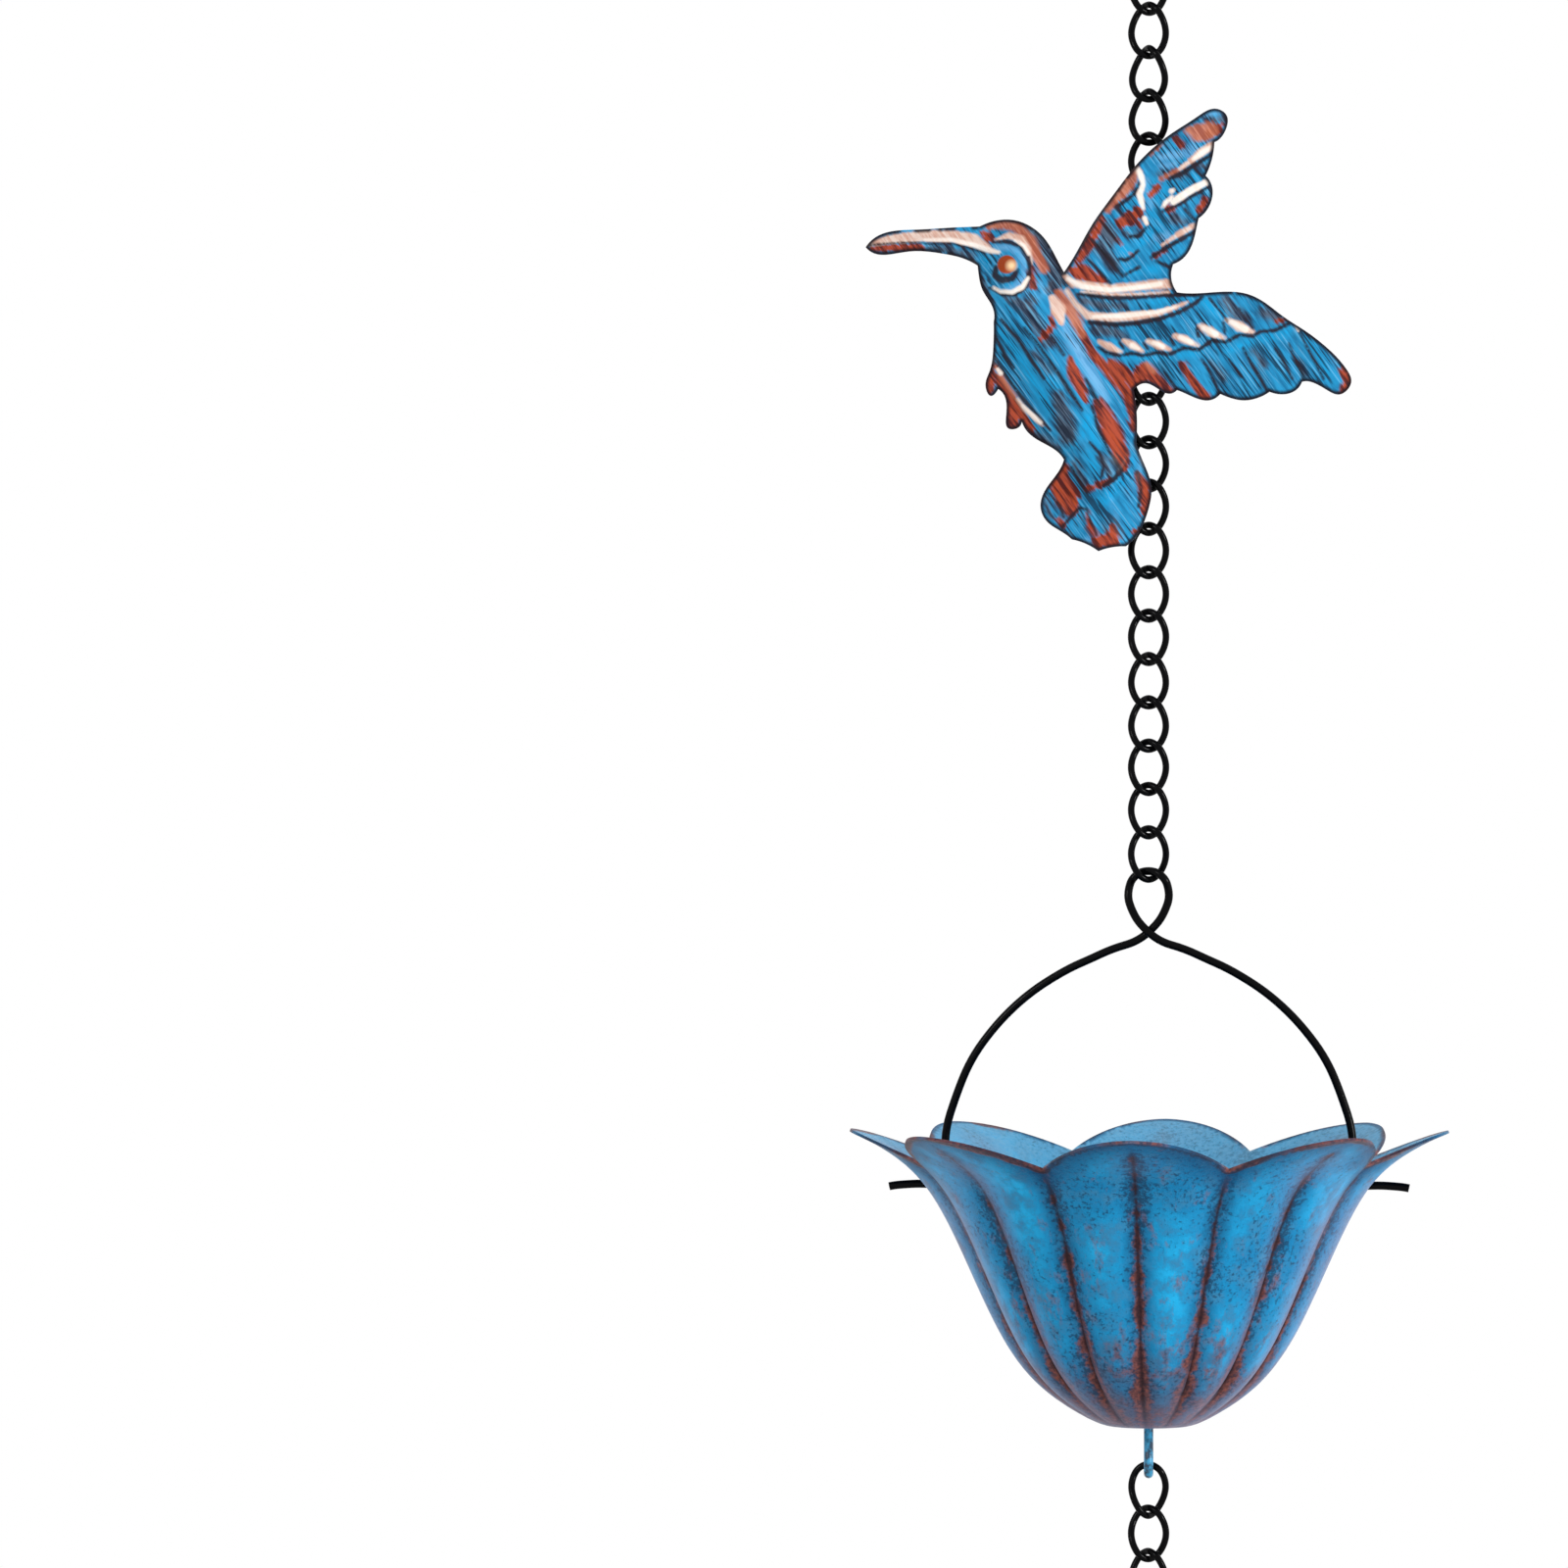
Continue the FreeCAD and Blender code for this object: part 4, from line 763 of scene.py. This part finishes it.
# where the rag took the blue off: rust and copper; painted highlights on the ridges, pale pink
# and white; and the dark dip left in the grooves, partly painted shade beside the ridges
colour = painted_over(colour, "rusted", "#b54a26", "#54190f", 0.7, 0.4, 0.97)
colour = painted_over(colour, "copper", "#cf8265", "#a4573f", 0.5, 0.5, 0.95)
colour = painted_over(colour, "pink_highlight", "#f2d6c6", "#dcab96", 0.2, 0.35, 0.95)
colour = painted_over(colour, "dark_dip_and_shade", "#1b1922", "#2b2029", 0.15, 0.3, 0.95)
colour = painted_over(colour, "white_highlight", "#fff6ee", "#fdeadd", 0.1, 0.3, 0.97)
# the eye, a rust dome with a painted highlight, and the cut edge, which keeps the dark dip
for gap, solid_to, gone_at, cover, tone in (
    ("eye_mm", 2.2, 2.6, 1, "#a9441a"),
    ("glint_mm", 0.4, 1.9, 1, "#ffd9a8"),
    ("edge_mm", 0.5, 1.2, 0.95, "#171119"),
):
    share = add_node(tree, "ShaderNodeAttribute", attribute_name=gap).node.outputs["Fac"]
    share = add_node(tree, "ShaderNodeMapRange",
                     {"Value": share, 1: solid_to, 2: gone_at, 3: cover, 4: 0})
    colour = add_node(tree, "ShaderNodeMix", {"Factor": share, 6: colour, 7: tone},
                      data_type="RGBA")
# the back was only dipped: dark copper with a little blue
back = add_node(tree, "ShaderNodeAttribute", attribute_name="back").node.outputs["Fac"]
dip = add_node(tree, "ShaderNodeMapRange", {"Value": streaks, 1: 0.3, 2: 0.7})
dip = add_node(tree, "ShaderNodeMix", {"Factor": dip, 6: "#6a4438", 7: "#3d4350"},
               data_type="RGBA")
colour = add_node(tree, "ShaderNodeMix", {"Factor": back, 6: colour, 7: dip}, data_type="RGBA")
tree.links.new(colour, skin.inputs["Base Color"])
gloss = add_node(tree, "ShaderNodeMapRange", {"Value": streaks, 3: 0.25, 4: 0.5})
tree.links.new(gloss, skin.inputs["Roughness"])
bump = add_node(tree, "ShaderNodeBump", {"Height": streaks, "Strength": 0.35, "Distance": 0.0003})
tree.links.new(bump, skin.inputs["Normal"])
skin.inputs["IOR"].default_value = 1.2

bird = welded_copy("stamped_bird_1", "hummingbird_1", 0.8 * MM)
bird.data.materials.append(stamped)
places = np.empty(3 * len(bird.data.vertices))
bird.data.vertices.foreach_get("co", places)
x, y, z = places.reshape(-1, 3).T / MM
z += first_link_below_origin / MM
for layer, strokes in strokes_of.items():
    write_attribute(bird, layer, depth_in(strokes, x, z))
for gap, (middle_x, middle_z) in (("eye_mm", eye_centre), ("glint_mm", glint_centre)):
    write_attribute(bird, gap, np.hypot(x - middle_x, z - middle_z))
backs = [1.0 if vertex.normal.y > 0 else 0.0 for vertex in bird.data.vertices]
write_attribute(bird, "back", backs)
flat_edge = [Vector((spot.x, 0, spot.z)) for spot in sharp_edge_middles(bird)]
flat_points = [Vector((vertex.co.x, 0, vertex.co.z)) for vertex in bird.data.vertices]
write_attribute(bird, "edge_mm", near_to(flat_points, flat_edge))
for number in (1, 2, 3):
    hang(bird, f"stamped_bird_{number}", number - 1, f"bird_{number}", f"hummingbird_{number}")
